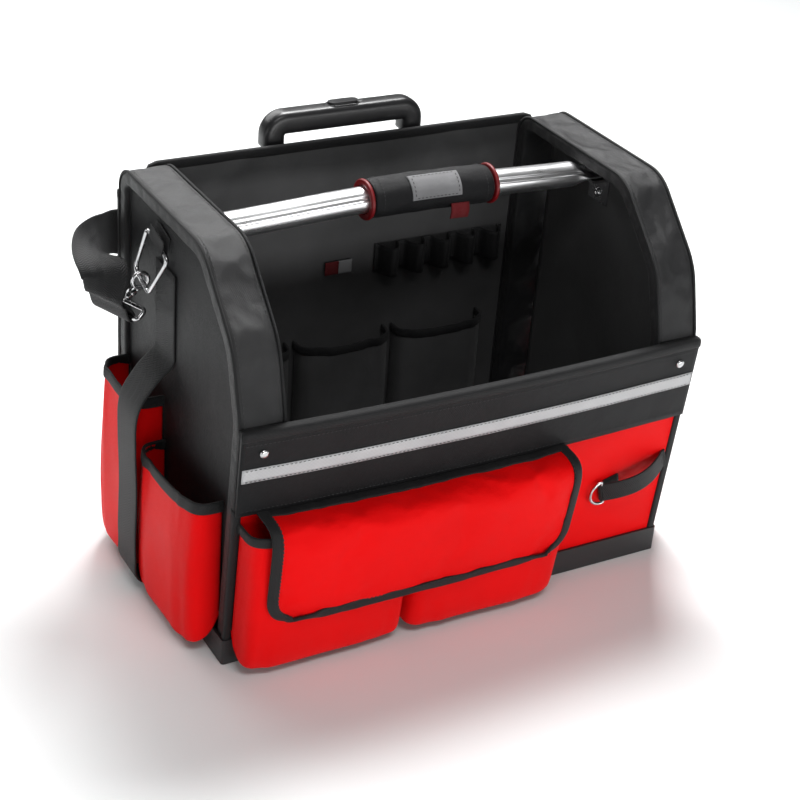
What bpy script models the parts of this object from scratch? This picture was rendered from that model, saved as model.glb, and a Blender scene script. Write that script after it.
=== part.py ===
"""Wheeled tool bag: padded fabric tool carrier with outside pockets, a crossbar and a telescopic trolley.

Metres, +Z up. The origin is the middle of the base's underside. X runs along the bag, the front looks to -Y.
"""
import bmesh
import bpy
from math import cos, pi, radians, sin, sqrt
from mathutils import Matrix, Vector

# Main sizes of the fabric shell
BAG_LENGTH = 0.540
BAG_DEPTH = 0.294
HOOP_HEIGHT = 0.437
BACK_HEIGHT = 0.433
FRONT_HEIGHT = 0.288
FRONT_OVERHANG = 0.022

# Walls and clearances
GAP = 0.0003
WALL = 0.004
CLOTH = 0.002
WEBBING = 0.0025

# Moulded base tray
TRAY_HEIGHT = 0.030
TRAY_WALL = 0.003
TRAY_FLOOR = 0.004

# Padded hoops at the two ends
HOOP_WIDTH = 0.051
HOOP_PAD = 0.016
PANEL_RECESS = 0.006

# Front band, stripe and rivets
BAND_HEIGHT = 0.094
BAND_THICK = 0.005
STRIPE_HEIGHT = 0.016
STRIPE_BELOW_TOP = 0.0495
STRIPE_THICK = 0.0010
RIVET_RADIUS = 0.0050
RIVET_PROUD = 0.0028
RIVET_INSET = 0.0235
RIVET_BELOW_TOP = 0.0257

# Front pockets and flap
POCKET_BOTTOM = 0.015
FRONT_SEAM = 0.042
FRONT_POCKET_DEPTH = 0.044
FRONT_POCKET_TOP = 0.178
FRONT_POCKET_LEFT = -0.264
FRONT_POCKET_SPLIT = -0.078
FRONT_POCKET_RIGHT = 0.113
POCKET_SPACING = 0.005
FLAP_LEFT = -0.247
FLAP_RIGHT = 0.108
FLAP_BOTTOM = 0.072
FLAP_THICK = 0.003
FLAP_CORNER = 0.038

# Holster strap at the right of the front, with a ring in its lower end
HOLSTER_WIDTH = 0.025
HOLSTER_LOW = (0.178, 0.107)
HOLSTER_HIGH = (0.262, 0.131)
HOLSTER_BOW = 0.012
HOLSTER_TUCK = 0.024
RING_WIRE = 0.0018

# Side pockets and the webbing between them
SIDE_SEAM = 0.050
SIDE_POCKET_DEPTH = 0.040
SIDE_POCKET_SPLIT = 0.026
SIDE_FRONT_BELOW_HOOP = 0.261
SIDE_REAR_BELOW_HOOP = 0.215
SIDE_WEBBING_WIDTH = 0.050
SIDE_WEBBING_BELOW_HOOP = 0.065

# Rings, hooks and shoulder strap
RING_CORNERS = (
    # place along the bag's side, depth below the hoop's top, rounding; the first two are the ends in the tab
    (0.009, 0.050, 0.006),
    (0.063, 0.038, 0.006),
    (0.076, 0.086, 0.008),
    (0.038, 0.098, 0.008),
)
RING_TAB_WIDTH = 0.034
RING_TAB_HEIGHT = 0.018
RING_TOP_OUT = 0.0060
RING_LEAN = 0.165
CARRY_WIRE = 0.0024
TAB_THICK = 0.0010
HOOK_EYE_SHARE = 0.40
HOOK_EYE_DROP = 0.0030
HOOK_BAR_OUT = 0.024
HOOK_BAR_Y = 0.088
HOOK_BAR_BELOW_HOOP = 0.126
HOOK_WIRE = 0.0024
HOOK_EYE_WIRE = 0.0022
HOOK_SHANK = 0.0036
HOOK_LOOP_RADIUS = 0.0085
HOOK_BAR_LENGTH = 0.064
HOOK_FRAME_WIDTH = 0.014
STRAP_WIDTH = 0.050
STRAP_SAG = 0.232
STRAP_BEHIND = 0.014

# Crossbar over the opening
BAR_Y = 0.024
BAR_BELOW_HOOP = 0.0225
BAR_DROP = 0.0075
BAR_HALF_DEPTH = 0.0150
BAR_HALF_HEIGHT = 0.0140
BAR_WALL = 0.0016
BAR_FLAT_LENGTH = 0.046
BAR_PRESS_LENGTH = 0.019
BAR_FLAT_HALF_HEIGHT = 0.0034
BAR_FLAT_HALF_DEPTH = 0.0190
BAR_SIDES = 14
BRACKET_THICK = 0.0030
BRACKET_WIDTH = 0.036
BRACKET_DROP = 0.034
BRACKET_REACH = 0.026
GRIP_LEFT = -0.042
GRIP_RIGHT = 0.104
GRIP_PAD = 0.0070
TRIM_LENGTH = 0.005
TRIM_PROUD = 0.0012
PATCH_LENGTH = 0.062
PATCH_THICK = 0.0012

# Pockets and loops inside
INNER_POCKET_WIDTH = 0.116
INNER_POCKET_DEPTH = 0.034
INNER_POCKET_TOP = 0.190
INNER_POCKET_SEAM = 0.055
INNER_POCKET_BOTTOM = 0.040
INNER_POCKET_SPACING = 0.012
LOOP_COUNT = 5
LOOP_WIDTH = 0.034
LOOP_HEIGHT = 0.036
LOOP_DEPTH = 0.020
LOOP_BOTTOM = 0.262
LOOP_START = 0.040
LOOP_SEAM = 0.25

# Trolley
TROLLEY_Y = 0.166
TUBE_SPACING = 0.171
OUTER_TUBE = (0.0280, 0.0170)
TUBE_WALL = 0.0012
SLIDE_GAP = 0.0004
OUTER_TUBE_TOP = 0.412
MID_TUBE_TOP = 0.420
INNER_TUBE_TOP = 0.444
GUIDE_LENGTH = 0.226
GUIDE_HEIGHT = 0.030
GUIDE_TOP = 0.405
CHASSIS_BOTTOM = 0.012
CHASSIS_HEIGHT = 0.042
CHASSIS_BACK = 0.182
SOCKET_DEPTH = 0.030
GRIP_BAR_TOP = 0.4645
GRIP_BAR_HEIGHT = 0.026
GRIP_BAR_DEPTH = 0.025
GRIP_LEG_BOTTOM = 0.426
GRIP_BEND = 0.016
BUTTON_LENGTH = 0.036
BUTTON_WIDTH = 0.012
BUTTON_PROUD = 0.0028
BUTTON_HEIGHT = 0.0080
BUTTON_TRAVEL = 0.0025

# Wheels
WHEEL_RADIUS = 0.040
WHEEL_WIDTH = 0.024
WHEEL_LIFT = 0.0003
WHEEL_X = 0.218
WHEEL_BEHIND = 0.0425
RIM_RADIUS = 0.0305
BOSS_WIDTH = 0.026
AXLE_RADIUS = 0.0040
AXLE_HEAD_RADIUS = 0.0070
AXLE_HEAD_THICK = 0.0025
CHEEK = 0.0040
CHEEK_GAP = 0.0006
HOUSING_TOP = 0.092
HOUSING_BOTTOM = 0.026
HOUSING_BEHIND = 0.054
WHEEL_CLEARANCE = 0.0030

HALF_LENGTH = BAG_LENGTH / 2
HALF_DEPTH = BAG_DEPTH / 2
TRAY_BACK = HALF_DEPTH + GAP + TRAY_WALL
INSIDE_FLOOR = TRAY_FLOOR + GAP
BACK_INSIDE = HALF_DEPTH - WALL
PANEL_OUTSIDE = HALF_LENGTH - PANEL_RECESS
PANEL_INSIDE = PANEL_OUTSIDE - WALL
AXLE_Y = TRAY_BACK + WHEEL_BEHIND
AXLE_Z = WHEEL_RADIUS + WHEEL_LIFT
BAR_END = PANEL_INSIDE - 2 * GAP
BAR_HEIGHT = HOOP_HEIGHT - BAR_BELOW_HOOP
SIDE_FRONT_TOP = HOOP_HEIGHT - SIDE_FRONT_BELOW_HOOP
SIDE_REAR_TOP = HOOP_HEIGHT - SIDE_REAR_BELOW_HOOP
SIDE_WEBBING_TOP = HOOP_HEIGHT - SIDE_WEBBING_BELOW_HOOP
RING_SPOTS = [(y, HOOP_HEIGHT - below, rounding) for y, below, rounding in RING_CORNERS]
FRONT_SLOPE = FRONT_OVERHANG / (FRONT_HEIGHT - TRAY_HEIGHT)

parts = bpy.data.collections.new("wheeled_tool_bag")
cutters = bpy.data.collections.new("cutters")


def clear_scene():
    for thing in list(bpy.data.objects):
        bpy.data.objects.remove(thing, do_unlink=True)
    bpy.context.scene.collection.children.link(parts)
    bpy.context.scene.collection.children.link(cutters)


def finish_of(name, colour, roughness, metallic=0.0):
    material = bpy.data.materials.new(name)
    material.use_nodes = True
    shader = material.node_tree.nodes["Principled BSDF"]
    shader.inputs["Base Color"].default_value = (*colour, 1.0)
    shader.inputs["Roughness"].default_value = roughness
    shader.inputs["Metallic"].default_value = metallic
    return material


def make_finishes():
    return {
        "black": finish_of("black_fabric", (0.020, 0.020, 0.021), 0.85),
        "red": finish_of("red_fabric", (0.60, 0.006, 0.008), 0.70),
        "webbing": finish_of("black_webbing", (0.014, 0.014, 0.015), 0.80),
        "stripe": finish_of("reflective_tape", (0.55, 0.56, 0.55), 0.45),
        "plastic": finish_of("black_plastic", (0.018, 0.018, 0.019), 0.50),
        "pad": finish_of("grip_padding", (0.024, 0.024, 0.025), 0.75),
        "trim": finish_of("red_trim", (0.55, 0.01, 0.02), 0.60),
        "patch": finish_of("grey_patch", (0.45, 0.45, 0.46), 0.55),
        "aluminium": finish_of("aluminium", (0.80, 0.81, 0.82), 0.28, 1.0),
        "steel": finish_of("plated_steel", (0.62, 0.61, 0.58), 0.30, 1.0),
        "rubber": finish_of("tyre_rubber", (0.025, 0.025, 0.026), 0.80),
        "hub": finish_of("hub_plastic", (0.10, 0.10, 0.105), 0.50),
    }


def add_object(name, mesh, material, collection=None, smooth=True):
    thing = bpy.data.objects.new(name, mesh)
    (collection or parts).objects.link(thing)
    mesh.materials.append(material)
    if smooth:
        mesh.shade_smooth()
        mesh.set_sharp_from_angle(angle=radians(35))
    return thing


def mesh_from(bm, name):
    bmesh.ops.recalc_face_normals(bm, faces=bm.faces)
    mesh = bpy.data.meshes.new(name)
    bm.to_mesh(mesh)
    bm.free()
    return mesh


def solidify(thing, thickness, offset=-1.0):
    thicken = thing.modifiers.new("thickness", "SOLIDIFY")
    thicken.thickness = thickness
    thicken.offset = offset
    thicken.use_even_offset = True
    return thicken


def bevel(thing, width, segments=2):
    rounding = thing.modifiers.new("rounded_edges", "BEVEL")
    rounding.width = width
    rounding.segments = segments
    rounding.limit_method = "ANGLE"
    rounding.angle_limit = radians(40)
    return rounding


def sheet(name, columns, rows, place, thickness, material, closed=False):
    """A grid laid out by place(u, v). Its cloth grows away from the side that (u direction x v direction) faces."""
    bm = bmesh.new()
    bmesh.ops.create_grid(bm, x_segments=columns, y_segments=rows, size=0.5)
    for vert in bm.verts:
        vert.co = place(vert.co.x + 0.5, vert.co.y + 0.5)
    if closed:
        bmesh.ops.remove_doubles(bm, verts=bm.verts, dist=1e-6)
    mesh = bpy.data.meshes.new(name)
    bm.to_mesh(mesh)
    bm.free()
    thing = add_object(name, mesh, material)
    solidify(thing, thickness)
    return thing


def block(name, low, high, material, rounding=0.0, collection=None):
    bm = bmesh.new()
    bmesh.ops.create_cube(bm, size=1.0)
    low, high = Vector(low), Vector(high)
    for vert in bm.verts:
        vert.co = Vector(low[i] + (vert.co[i] + 0.5) * (high[i] - low[i]) for i in range(3))
    thing = add_object(name, mesh_from(bm, name), material, collection, smooth=rounding > 0)
    if rounding:
        bevel(thing, rounding)
    return thing


def rod(name, radius, start, end, material, sides=16, collection=None):
    start, end = Vector(start), Vector(end)
    turn = (end - start).to_track_quat("Z", "Y").to_matrix().to_4x4()
    place = Matrix.Translation((start + end) / 2) @ turn
    bm = bmesh.new()
    bmesh.ops.create_cone(bm, cap_ends=True, segments=sides, radius1=radius, radius2=radius,
                          depth=(end - start).length, matrix=place)
    return add_object(name, mesh_from(bm, name), material, collection)


def turned(name, profile, place, material, steps, closed=True):
    """A profile of (radius, height) points turned about its own Z, then placed. An open one ends on the axis."""
    mesh = bpy.data.meshes.new(name)
    points = [(radius, 0.0, height) for radius, height in profile]
    edges = [(i, i + 1) for i in range(len(points) - 1)]
    if closed:
        edges.append((len(points) - 1, 0))
    mesh.from_pydata(points, edges, [])
    thing = bpy.data.objects.new(name, mesh)
    parts.objects.link(thing)
    mesh.materials.append(material)
    screw = thing.modifiers.new("turned", "SCREW")
    screw.axis = "Z"
    screw.steps = steps
    screw.render_steps = steps
    screw.use_merge_vertices = True
    screw.merge_threshold = 0.0001
    screw.use_smooth_shade = True
    thing.matrix_world = place
    return thing


def wire(name, points, radius, material, cyclic=False, sides=2):
    curve = bpy.data.curves.new(name, "CURVE")
    curve.dimensions = "3D"
    curve.bevel_depth = radius
    curve.bevel_resolution = sides
    curve.use_fill_caps = not cyclic
    curve.render_resolution_u = 0
    line = curve.splines.new("POLY")
    line.points.add(len(points) - 1)
    for point, place in zip(line.points, points):
        point.co = (*place, 1.0)
    line.use_cyclic_u = cyclic
    thing = bpy.data.objects.new(name, curve)
    parts.objects.link(thing)
    curve.materials.append(material)
    return thing


def as_mesh(thing):
    """The curve object's evaluated shape as a welded mesh object of the same name."""
    name, material = thing.name, thing.data.materials[0]
    evaluated = thing.evaluated_get(bpy.context.evaluated_depsgraph_get())
    mesh = bpy.data.meshes.new_from_object(evaluated)
    place = thing.matrix_world.copy()
    bpy.data.objects.remove(thing, do_unlink=True)
    bm = bmesh.new()
    bm.from_mesh(mesh)
    bmesh.ops.remove_doubles(bm, verts=bm.verts, dist=1e-6)
    bmesh.ops.recalc_face_normals(bm, faces=bm.faces)
    bm.to_mesh(mesh)
    bm.free()
    solid = bpy.data.objects.new(name, mesh)
    parts.objects.link(solid)
    solid.matrix_world = place
    mesh.materials.clear()
    mesh.materials.append(material)
    return solid


def combine(thing, other, operation):
    """Cut or join with another object, which becomes a hidden tool."""
    if other.name in parts.objects:
        parts.objects.unlink(other)
        cutters.objects.link(other)
    other.hide_render = True
    other.display_type = "WIRE"
    change = thing.modifiers.new(operation.lower(), "BOOLEAN")
    change.operation = operation
    change.solver = "EXACT"
    change.object = other


def outline_plate(name, outline, thickness, material):
    """A flat closed outline of (x, y) points, filled and given its thickness about its own plane."""
    curve = bpy.data.curves.new(name, "CURVE")
    curve.dimensions = "2D"
    curve.fill_mode = "BOTH"
    curve.extrude = thickness / 2
    curve.render_resolution_u = 0
    line = curve.splines.new("POLY")
    line.points.add(len(outline) - 1)
    for point, (x, y) in zip(line.points, outline):
        point.co = (x, y, 0.0, 1.0)
    line.use_cyclic_u = True
    thing = bpy.data.objects.new(name, curve)
    parts.objects.link(thing)
    curve.materials.append(material)
    return thing


def rounded(corners, turn=radians(15)):
    """Points along a line through (y, z, radius) corners, each rounded by an arc in steps of about the turn."""
    points = []
    for i, (y, z, radius) in enumerate(corners):
        here = Vector((y, z))
        if radius == 0 or i in (0, len(corners) - 1):
            points.append(here)
            continue
        back = (Vector(corners[i - 1][:2]) - here).normalized()
        ahead = (Vector(corners[i + 1][:2]) - here).normalized()
        half = back.angle(ahead) / 2
        reach = radius / sin(half) * cos(half)
        centre = here + (back + ahead).normalized() * radius / sin(half)
        start, end = here + back * reach, here + ahead * reach
        steps = max(3, round((pi - 2 * half) / turn))
        for step in range(steps + 1):
            share = step / steps
            spoke = (start - centre).lerp(end - centre, share)
            points.append(centre + spoke.normalized() * radius)
    return points


def offset_line(points, distance):
    """The line moved to its right-hand side by the distance, mitred at each point."""
    moved = []
    for i, point in enumerate(points):
        before = points[i] - points[i - 1] if i > 0 else points[1] - points[0]
        after = points[i + 1] - points[i] if i < len(points) - 1 else before
        side_a = Vector((before.y, -before.x)).normalized()
        side_b = Vector((after.y, -after.x)).normalized()
        mitre = (side_a + side_b).normalized()
        moved.append(point + mitre * distance / mitre.dot(side_a))
    return moved


def along(points, share):
    """The point at a share of the line's points, between two of them where needed."""
    place = min(max(share, 0.0), 1.0) * (len(points) - 1)
    i = min(int(place + 1e-6), len(points) - 2)
    return points[i].lerp(points[i + 1], place - i)


def smooth_route(points, steps):
    """A smooth curve through the points, with a number of steps between each two."""
    ends = [points[0] * 2 - points[1], *points, points[-1] * 2 - points[-2]]
    route = []
    for a, b, c, d in zip(ends, ends[1:], ends[2:], ends[3:]):
        for step in range(steps):
            t = step / steps
            route.append(0.5 * (2 * b + (c - a) * t + (2 * a - 5 * b + 4 * c - d) * t ** 2
                                + (3 * b - a - 3 * c + d) * t ** 3))
    return [*route, points[-1]]


def row_of(table, share):
    """The values at a share of the way down a table, between two of its rows where needed."""
    place = min(max(share, 0.0), 1.0) * (len(table) - 1)
    i = min(int(place + 1e-6), len(table) - 2)
    return [low + (high - low) * (place - i) for low, high in zip(table[i], table[i + 1])]


def front_y(z):
    """The front wall's outer face, which leans outward above the tray."""
    return -HALF_DEPTH - (z - TRAY_HEIGHT) * FRONT_SLOPE


def front_point(x, z, out):
    return Vector((x, front_y(z) - out, z))


def side_point(side, y, z, out):
    return Vector((side * (PANEL_OUTSIDE + out), y, z))


def back_inside_point(x, z, out):
    return Vector((x, BACK_INSIDE - out, z))


def hoop_corners():
    """Corners of the hoop's outer line, from the foot of the back leg over the top to the front foot."""
    rise = HOOP_HEIGHT - FRONT_HEIGHT
    rear = BACK_INSIDE - GAP
    front_inner = WALL * sqrt(1 + FRONT_SLOPE ** 2) + GAP
    shoulder_y, shoulder_radius = -0.46 * HALF_DEPTH, 0.050
    brow_y, brow_z, brow_radius = -0.975 * HALF_DEPTH, FRONT_HEIGHT + 0.50 * rise, 0.070
    return [
        (rear, INSIDE_FLOOR, 0.0),
        (rear, HOOP_HEIGHT, 0.026),
        (shoulder_y, HOOP_HEIGHT, shoulder_radius),
        (brow_y, brow_z, brow_radius),
        (front_y(FRONT_HEIGHT) + front_inner, FRONT_HEIGHT, 0.060),
        (front_y(INSIDE_FLOOR) + front_inner, INSIDE_FLOOR, 0.0),
    ]


def make_tray(finishes):
    outside = HALF_LENGTH + GAP + TRAY_WALL
    bm = bmesh.new()
    bmesh.ops.create_cube(bm, size=1.0)
    for vert in bm.verts:
        vert.co = Vector((vert.co.x * 2 * outside, vert.co.y * 2 * TRAY_BACK, (vert.co.z + 0.5) * TRAY_HEIGHT))
    upright = [edge for edge in bm.edges if abs(edge.verts[0].co.z - edge.verts[1].co.z) > TRAY_HEIGHT / 2]
    bmesh.ops.bevel(bm, geom=upright, offset=GAP + TRAY_WALL, segments=3, profile=0.5, affect="EDGES")
    top = [face for face in bm.faces if face.normal.z > 0.5]
    bmesh.ops.delete(bm, geom=top, context="FACES_ONLY")
    tray = add_object("base_tray", mesh_from(bm, "base_tray"), finishes["plastic"])
    solidify(tray, TRAY_WALL)
    return tray


def make_walls(finishes):
    def front(u, v):
        z = INSIDE_FLOOR + v * (FRONT_HEIGHT - INSIDE_FLOOR)
        return front_point((u - 0.5) * BAG_LENGTH, z, 0.0)

    def back(u, v):
        return Vector(((0.5 - u) * BAG_LENGTH, HALF_DEPTH, INSIDE_FLOOR + v * (BACK_HEIGHT - INSIDE_FLOOR)))

    sheet("front_wall", 2, 2, front, WALL, finishes["red"])
    sheet("back_wall", 2, 2, back, WALL, finishes["black"])


def make_hoops(finishes):
    outer = rounded(hoop_corners())
    inner = offset_line(outer, -(HOOP_PAD + GAP))
    floor = [Vector((inner[0].x, INSIDE_FLOOR)), *inner[1:-1], Vector((inner[-1].x, INSIDE_FLOOR))]
    for label, side in (("left", -1), ("right", 1)):
        def hoop(u, v, side=side):
            y, z = along(outer, u)
            return Vector(((HALF_LENGTH - HOOP_WIDTH / 2) * side + (v - 0.5) * HOOP_WIDTH, y, z))

        band = sheet("hoop_" + label, len(outer) - 1, 1, hoop, HOOP_PAD, finishes["black"])
        bevel(band, 0.003, 1)
        panel = outline_plate("end_panel_" + label, [(p.x, p.y) for p in floor], WALL, finishes["black"])
        panel.matrix_world = (Matrix.Translation((side * (PANEL_OUTSIDE - WALL / 2), 0, 0))
                              @ Matrix(((0, 0, 1, 0), (1, 0, 0, 0), (0, 1, 0, 0), (0, 0, 0, 1))))


def make_front_band(finishes):
    bottom = FRONT_HEIGHT - BAND_HEIGHT
    stripe_top = FRONT_HEIGHT - STRIPE_BELOW_TOP + STRIPE_HEIGHT / 2

    def band(u, v):
        return front_point((u - 0.5) * BAG_LENGTH, bottom + v * BAND_HEIGHT, GAP + BAND_THICK)

    def stripe(u, v):
        z = stripe_top - (1 - v) * STRIPE_HEIGHT
        return front_point((u - 0.5) * (BAG_LENGTH - 0.004), z, 2 * GAP + BAND_THICK + STRIPE_THICK)

    sheet("front_band", 2, 2, band, BAND_THICK, finishes["black"])
    sheet("reflective_stripe", 2, 1, stripe, STRIPE_THICK, finishes["stripe"])
    rivet_z = FRONT_HEIGHT - RIVET_BELOW_TOP
    for label, side in (("left", -1), ("right", 1)):
        foot = front_point(side * (HALF_LENGTH - RIVET_INSET), rivet_z, 2 * GAP + BAND_THICK)
        crown = foot + Vector((0, -1, -FRONT_SLOPE)).normalized() * RIVET_PROUD
        rivet = rod("band_rivet_" + label, RIVET_RADIUS, foot, crown, finishes["steel"], sides=12)
        bevel(rivet, RIVET_PROUD * 0.6, 2)


POCKET_ROWS = (
    # share of the sag below the seam, share of the rise above it, share of the depth
    (0.00, 0.00, 0.00),
    (0.70, 0.00, 0.45),
    (1.00, 0.00, 0.85),
    (0.72, 0.00, 0.97),
    (0.00, 0.04, 1.00),
    (0.00, 0.50, 0.97),
    (0.00, 1.00, 0.84),
)


def pocket(name, place, start, end, bottom, seam, top, depth, material, roundness=0.5, top_end=None):
    """A gusseted pocket, open at its mouth: place(across, z, out) gives a point in front of the wall. It is sewn
    on at the height of the seam, from where it sags down and out, past the tray's rim on the outer walls."""
    top_end = top if top_end is None else top_end
    middle, half = (start + end) / 2, (end - start) / 2

    def shape(u, v):
        turn = pi * (1 - u)
        x = abs(cos(turn)) ** roundness * (1 if cos(turn) > 0 else -1)
        full = abs(sin(turn)) ** roundness
        mouth = top + (top_end - top) * (x + 1) / 2
        sag, rise, share = row_of(POCKET_ROWS, v)
        z = seam - sag * (seam - bottom) * full + rise * (mouth - seam)
        return place(middle + half * x, z, 2 * GAP + share * depth * full)

    cloth = sheet(name, 8, len(POCKET_ROWS) - 1, shape, CLOTH, material, closed=True)
    cloth.modifiers["thickness"].use_even_offset = False
    return cloth


def make_front_pockets(finishes):
    spans = (("left", FRONT_POCKET_LEFT, FRONT_POCKET_SPLIT - POCKET_SPACING / 2),
             ("right", FRONT_POCKET_SPLIT + POCKET_SPACING / 2, FRONT_POCKET_RIGHT))
    for label, start, end in spans:
        pocket("front_pocket_" + label, front_point, start, end, POCKET_BOTTOM, FRONT_SEAM, FRONT_POCKET_TOP,
               FRONT_POCKET_DEPTH, finishes["red"], roundness=0.4)


FLAP_ROWS = (
    # share of the flap's fall, share of the depth that it stands out over the pockets
    (0.00, 0.00),
    (0.00, 0.34),
    (0.03, 0.80),
    (0.14, 1.00),
    (0.38, 1.03),
    (0.64, 1.02),
    (0.78, 1.01),
    (0.88, 1.00),
    (0.95, 1.00),
    (1.00, 1.00),
)


def make_flap(finishes):
    top = FRONT_HEIGHT - BAND_HEIGHT - GAP
    middle, half = (FLAP_LEFT + FLAP_RIGHT) / 2, (FLAP_RIGHT - FLAP_LEFT) / 2
    rise = FRONT_POCKET_DEPTH + FLAP_THICK + 2 * GAP

    def shape(u, v):
        fall, share = row_of(FLAP_ROWS, 1 - v)
        z = top - fall * (top - FLAP_BOTTOM)
        corner = max(0.0, (FLAP_BOTTOM + FLAP_CORNER - z) / FLAP_CORNER)
        inset = FLAP_CORNER * (1 - sqrt(max(0.0, 1 - corner ** 2)))
        out = GAP + FLAP_THICK + share * (rise - FLAP_THICK)
        return front_point(middle + (u - 0.5) * 2 * (half - inset * 0.9), z, out)

    sheet("front_flap", 6, len(FLAP_ROWS) - 1, shape, FLAP_THICK, finishes["red"])


def make_holster(finishes):
    low, high = Vector(HOLSTER_LOW), Vector(HOLSTER_HIGH)
    length = (high - low).length
    run = (high - low).normalized()
    across = Vector((-run.y, run.x))
    loop = RING_WIRE + 2 * GAP
    centre = WEBBING + GAP + loop
    over = centre + loop
    line = [Vector((HOLSTER_TUCK, WEBBING + GAP)), Vector((HOLSTER_TUCK / 2, WEBBING + GAP))]
    line += [Vector((-loop * sin(turn), centre - loop * cos(turn))) for turn in (pi * i / 6 for i in range(7))]
    line += [Vector((length * share, over * (1 - share ** 3) + GAP + HOLSTER_BOW * sin(pi * share)))
             for share in (0.15, 0.32, 0.50, 0.68, 0.84, 0.96, 1.00)]

    def shape(u, v):
        step, out = along(line, v)
        spot = low + run * step + across * (u - 0.5) * HOLSTER_WIDTH
        return front_point(spot.x, spot.y, out)

    sheet("holster_strap", 1, len(line) - 1, shape, WEBBING, finishes["webbing"])
    half = HOLSTER_WIDTH / 2 + RING_WIRE + 5 * GAP
    bend = [(-half * sin(turn), half * cos(turn)) for turn in (pi * i / 10 for i in range(11))]
    spots = [low + run * back + across * side for back, side in bend]
    wire("holster_ring", [front_point(spot.x, spot.y, centre) for spot in spots], RING_WIRE, finishes["steel"],
         cyclic=True, sides=1)


def make_side_pockets(finishes):
    leg = HALF_DEPTH - WALL - HOOP_PAD - 3 * GAP
    middle_gap = POCKET_SPACING / 2
    for label, side in (("left", -1), ("right", 1)):
        def place(across, z, out, side=side):
            return side_point(side, across * side, z, out)

        spans = (("front", -leg, SIDE_POCKET_SPLIT - middle_gap, SIDE_FRONT_TOP, SIDE_FRONT_TOP - 0.006),
                 ("rear", SIDE_POCKET_SPLIT + middle_gap, leg, SIDE_REAR_TOP, SIDE_REAR_TOP))
        for name, start, end, top, top_far in spans:
            low, high = (start, end) if side > 0 else (-end, -start)
            near, far = (top, top_far) if side > 0 else (top_far, top)
            pocket("side_pocket_{}_{}".format(label, name), place, low, high, POCKET_BOTTOM, SIDE_SEAM, near,
                   SIDE_POCKET_DEPTH, finishes["red"], roundness=0.6, top_end=far)


def side_webbing_line():
    """(out from the panel, height) of the webbing's outer face, from the tray up over the pockets to the panel."""
    tray_face = TRAY_WALL + PANEL_RECESS + 2 * GAP + WEBBING
    pocket_face = SIDE_POCKET_DEPTH + WEBBING + 4 * GAP
    flat = WEBBING + GAP
    return [
        Vector((tray_face, POCKET_BOTTOM - 0.011)),
        Vector((tray_face + GAP, POCKET_BOTTOM - 0.006)),
        Vector((pocket_face * 0.80, POCKET_BOTTOM - 0.0035)),
        Vector((pocket_face, POCKET_BOTTOM + 0.009)),
        Vector((pocket_face, SIDE_SEAM)),
        Vector((pocket_face, SIDE_FRONT_TOP)),
        Vector((pocket_face * 0.95, SIDE_REAR_TOP)),
        Vector((pocket_face * 0.55, SIDE_REAR_TOP + 0.030)),
        Vector((flat, SIDE_REAR_TOP + 0.054)),
        Vector((flat, SIDE_WEBBING_TOP)),
    ]


def make_side_webbing(finishes):
    line = side_webbing_line()
    for label, side in (("left", -1), ("right", 1)):
        def shape(u, v, side=side):
            out, z = along(line, v)
            return side_point(side, SIDE_POCKET_SPLIT + side * (u - 0.5) * SIDE_WEBBING_WIDTH, z, out)

        sheet("side_webbing_" + label, 2, len(line) - 1, shape, WEBBING, finishes["webbing"])


def ring_frame():
    """The middle of the ring's side in the tab, the way along it, and the way from it down to the ring's foot."""
    low, high = Vector(RING_SPOTS[0][:2]), Vector(RING_SPOTS[1][:2])
    run = (high - low).normalized()
    return (low + high) / 2, run, Vector((run.y, -run.x))


def ring_out(spot):
    """How far the ring stands off the panel: it hangs flat at the tab and leans out towards its foot."""
    middle, _, down = ring_frame()
    return RING_TOP_OUT + max(0.0, (spot - middle).dot(down)) * RING_LEAN


def make_carry_rings(finishes):
    middle, run, down = ring_frame()
    start = (middle.x, middle.y, 0.0)
    spots = rounded([start, *RING_SPOTS[1:], RING_SPOTS[0], start], radians(28))[:-1]
    loop = CARRY_WIRE + 2 * GAP
    line = [Vector((TAB_THICK + GAP, RING_TAB_HEIGHT)), Vector((RING_TOP_OUT - loop, 0.002))]
    line += [Vector((RING_TOP_OUT - loop * cos(turn), -loop * sin(turn)))
             for turn in (pi * step / 6 for step in range(7))]
    line += [Vector((RING_TOP_OUT + loop * 0.8, RING_TAB_HEIGHT * 0.8))]
    for label, side in (("left", -1), ("right", 1)):
        def tab(u, v, side=side):
            out, above = along(line, v)
            spot = middle + run * side * (0.5 - u) * RING_TAB_WIDTH - down * above
            return side_point(side, spot.x, spot.y, out)

        wire("carry_ring_" + label, [side_point(side, spot.x, spot.y, ring_out(spot)) for spot in spots],
             CARRY_WIRE, finishes["steel"], cyclic=True, sides=1)
        sheet("ring_tab_" + label, 1, len(line) - 1, tab, TAB_THICK, finishes["webbing"])


def hook_frame(side):
    """Where the snap hook sits: its eye on the ring's foot, and the frame that holds the strap. The frame's two
    long bars run along bar, and the second lies away from the first."""
    foot = Vector(RING_SPOTS[2][:2]).lerp(Vector(RING_SPOTS[3][:2]), HOOK_EYE_SHARE)
    eye = side_point(side, foot.x, foot.y - HOOK_EYE_DROP, ring_out(foot))
    near = side_point(side, HOOK_BAR_Y, HOOP_HEIGHT - HOOK_BAR_BELOW_HOOP, HOOK_BAR_OUT)
    bar = Vector((side * 0.46, 0.88, 0.07)).normalized()
    away = Vector((side * 0.755, -0.352, -0.553))
    return eye, near, bar, (away - bar * away.dot(bar)).normalized()


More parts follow.
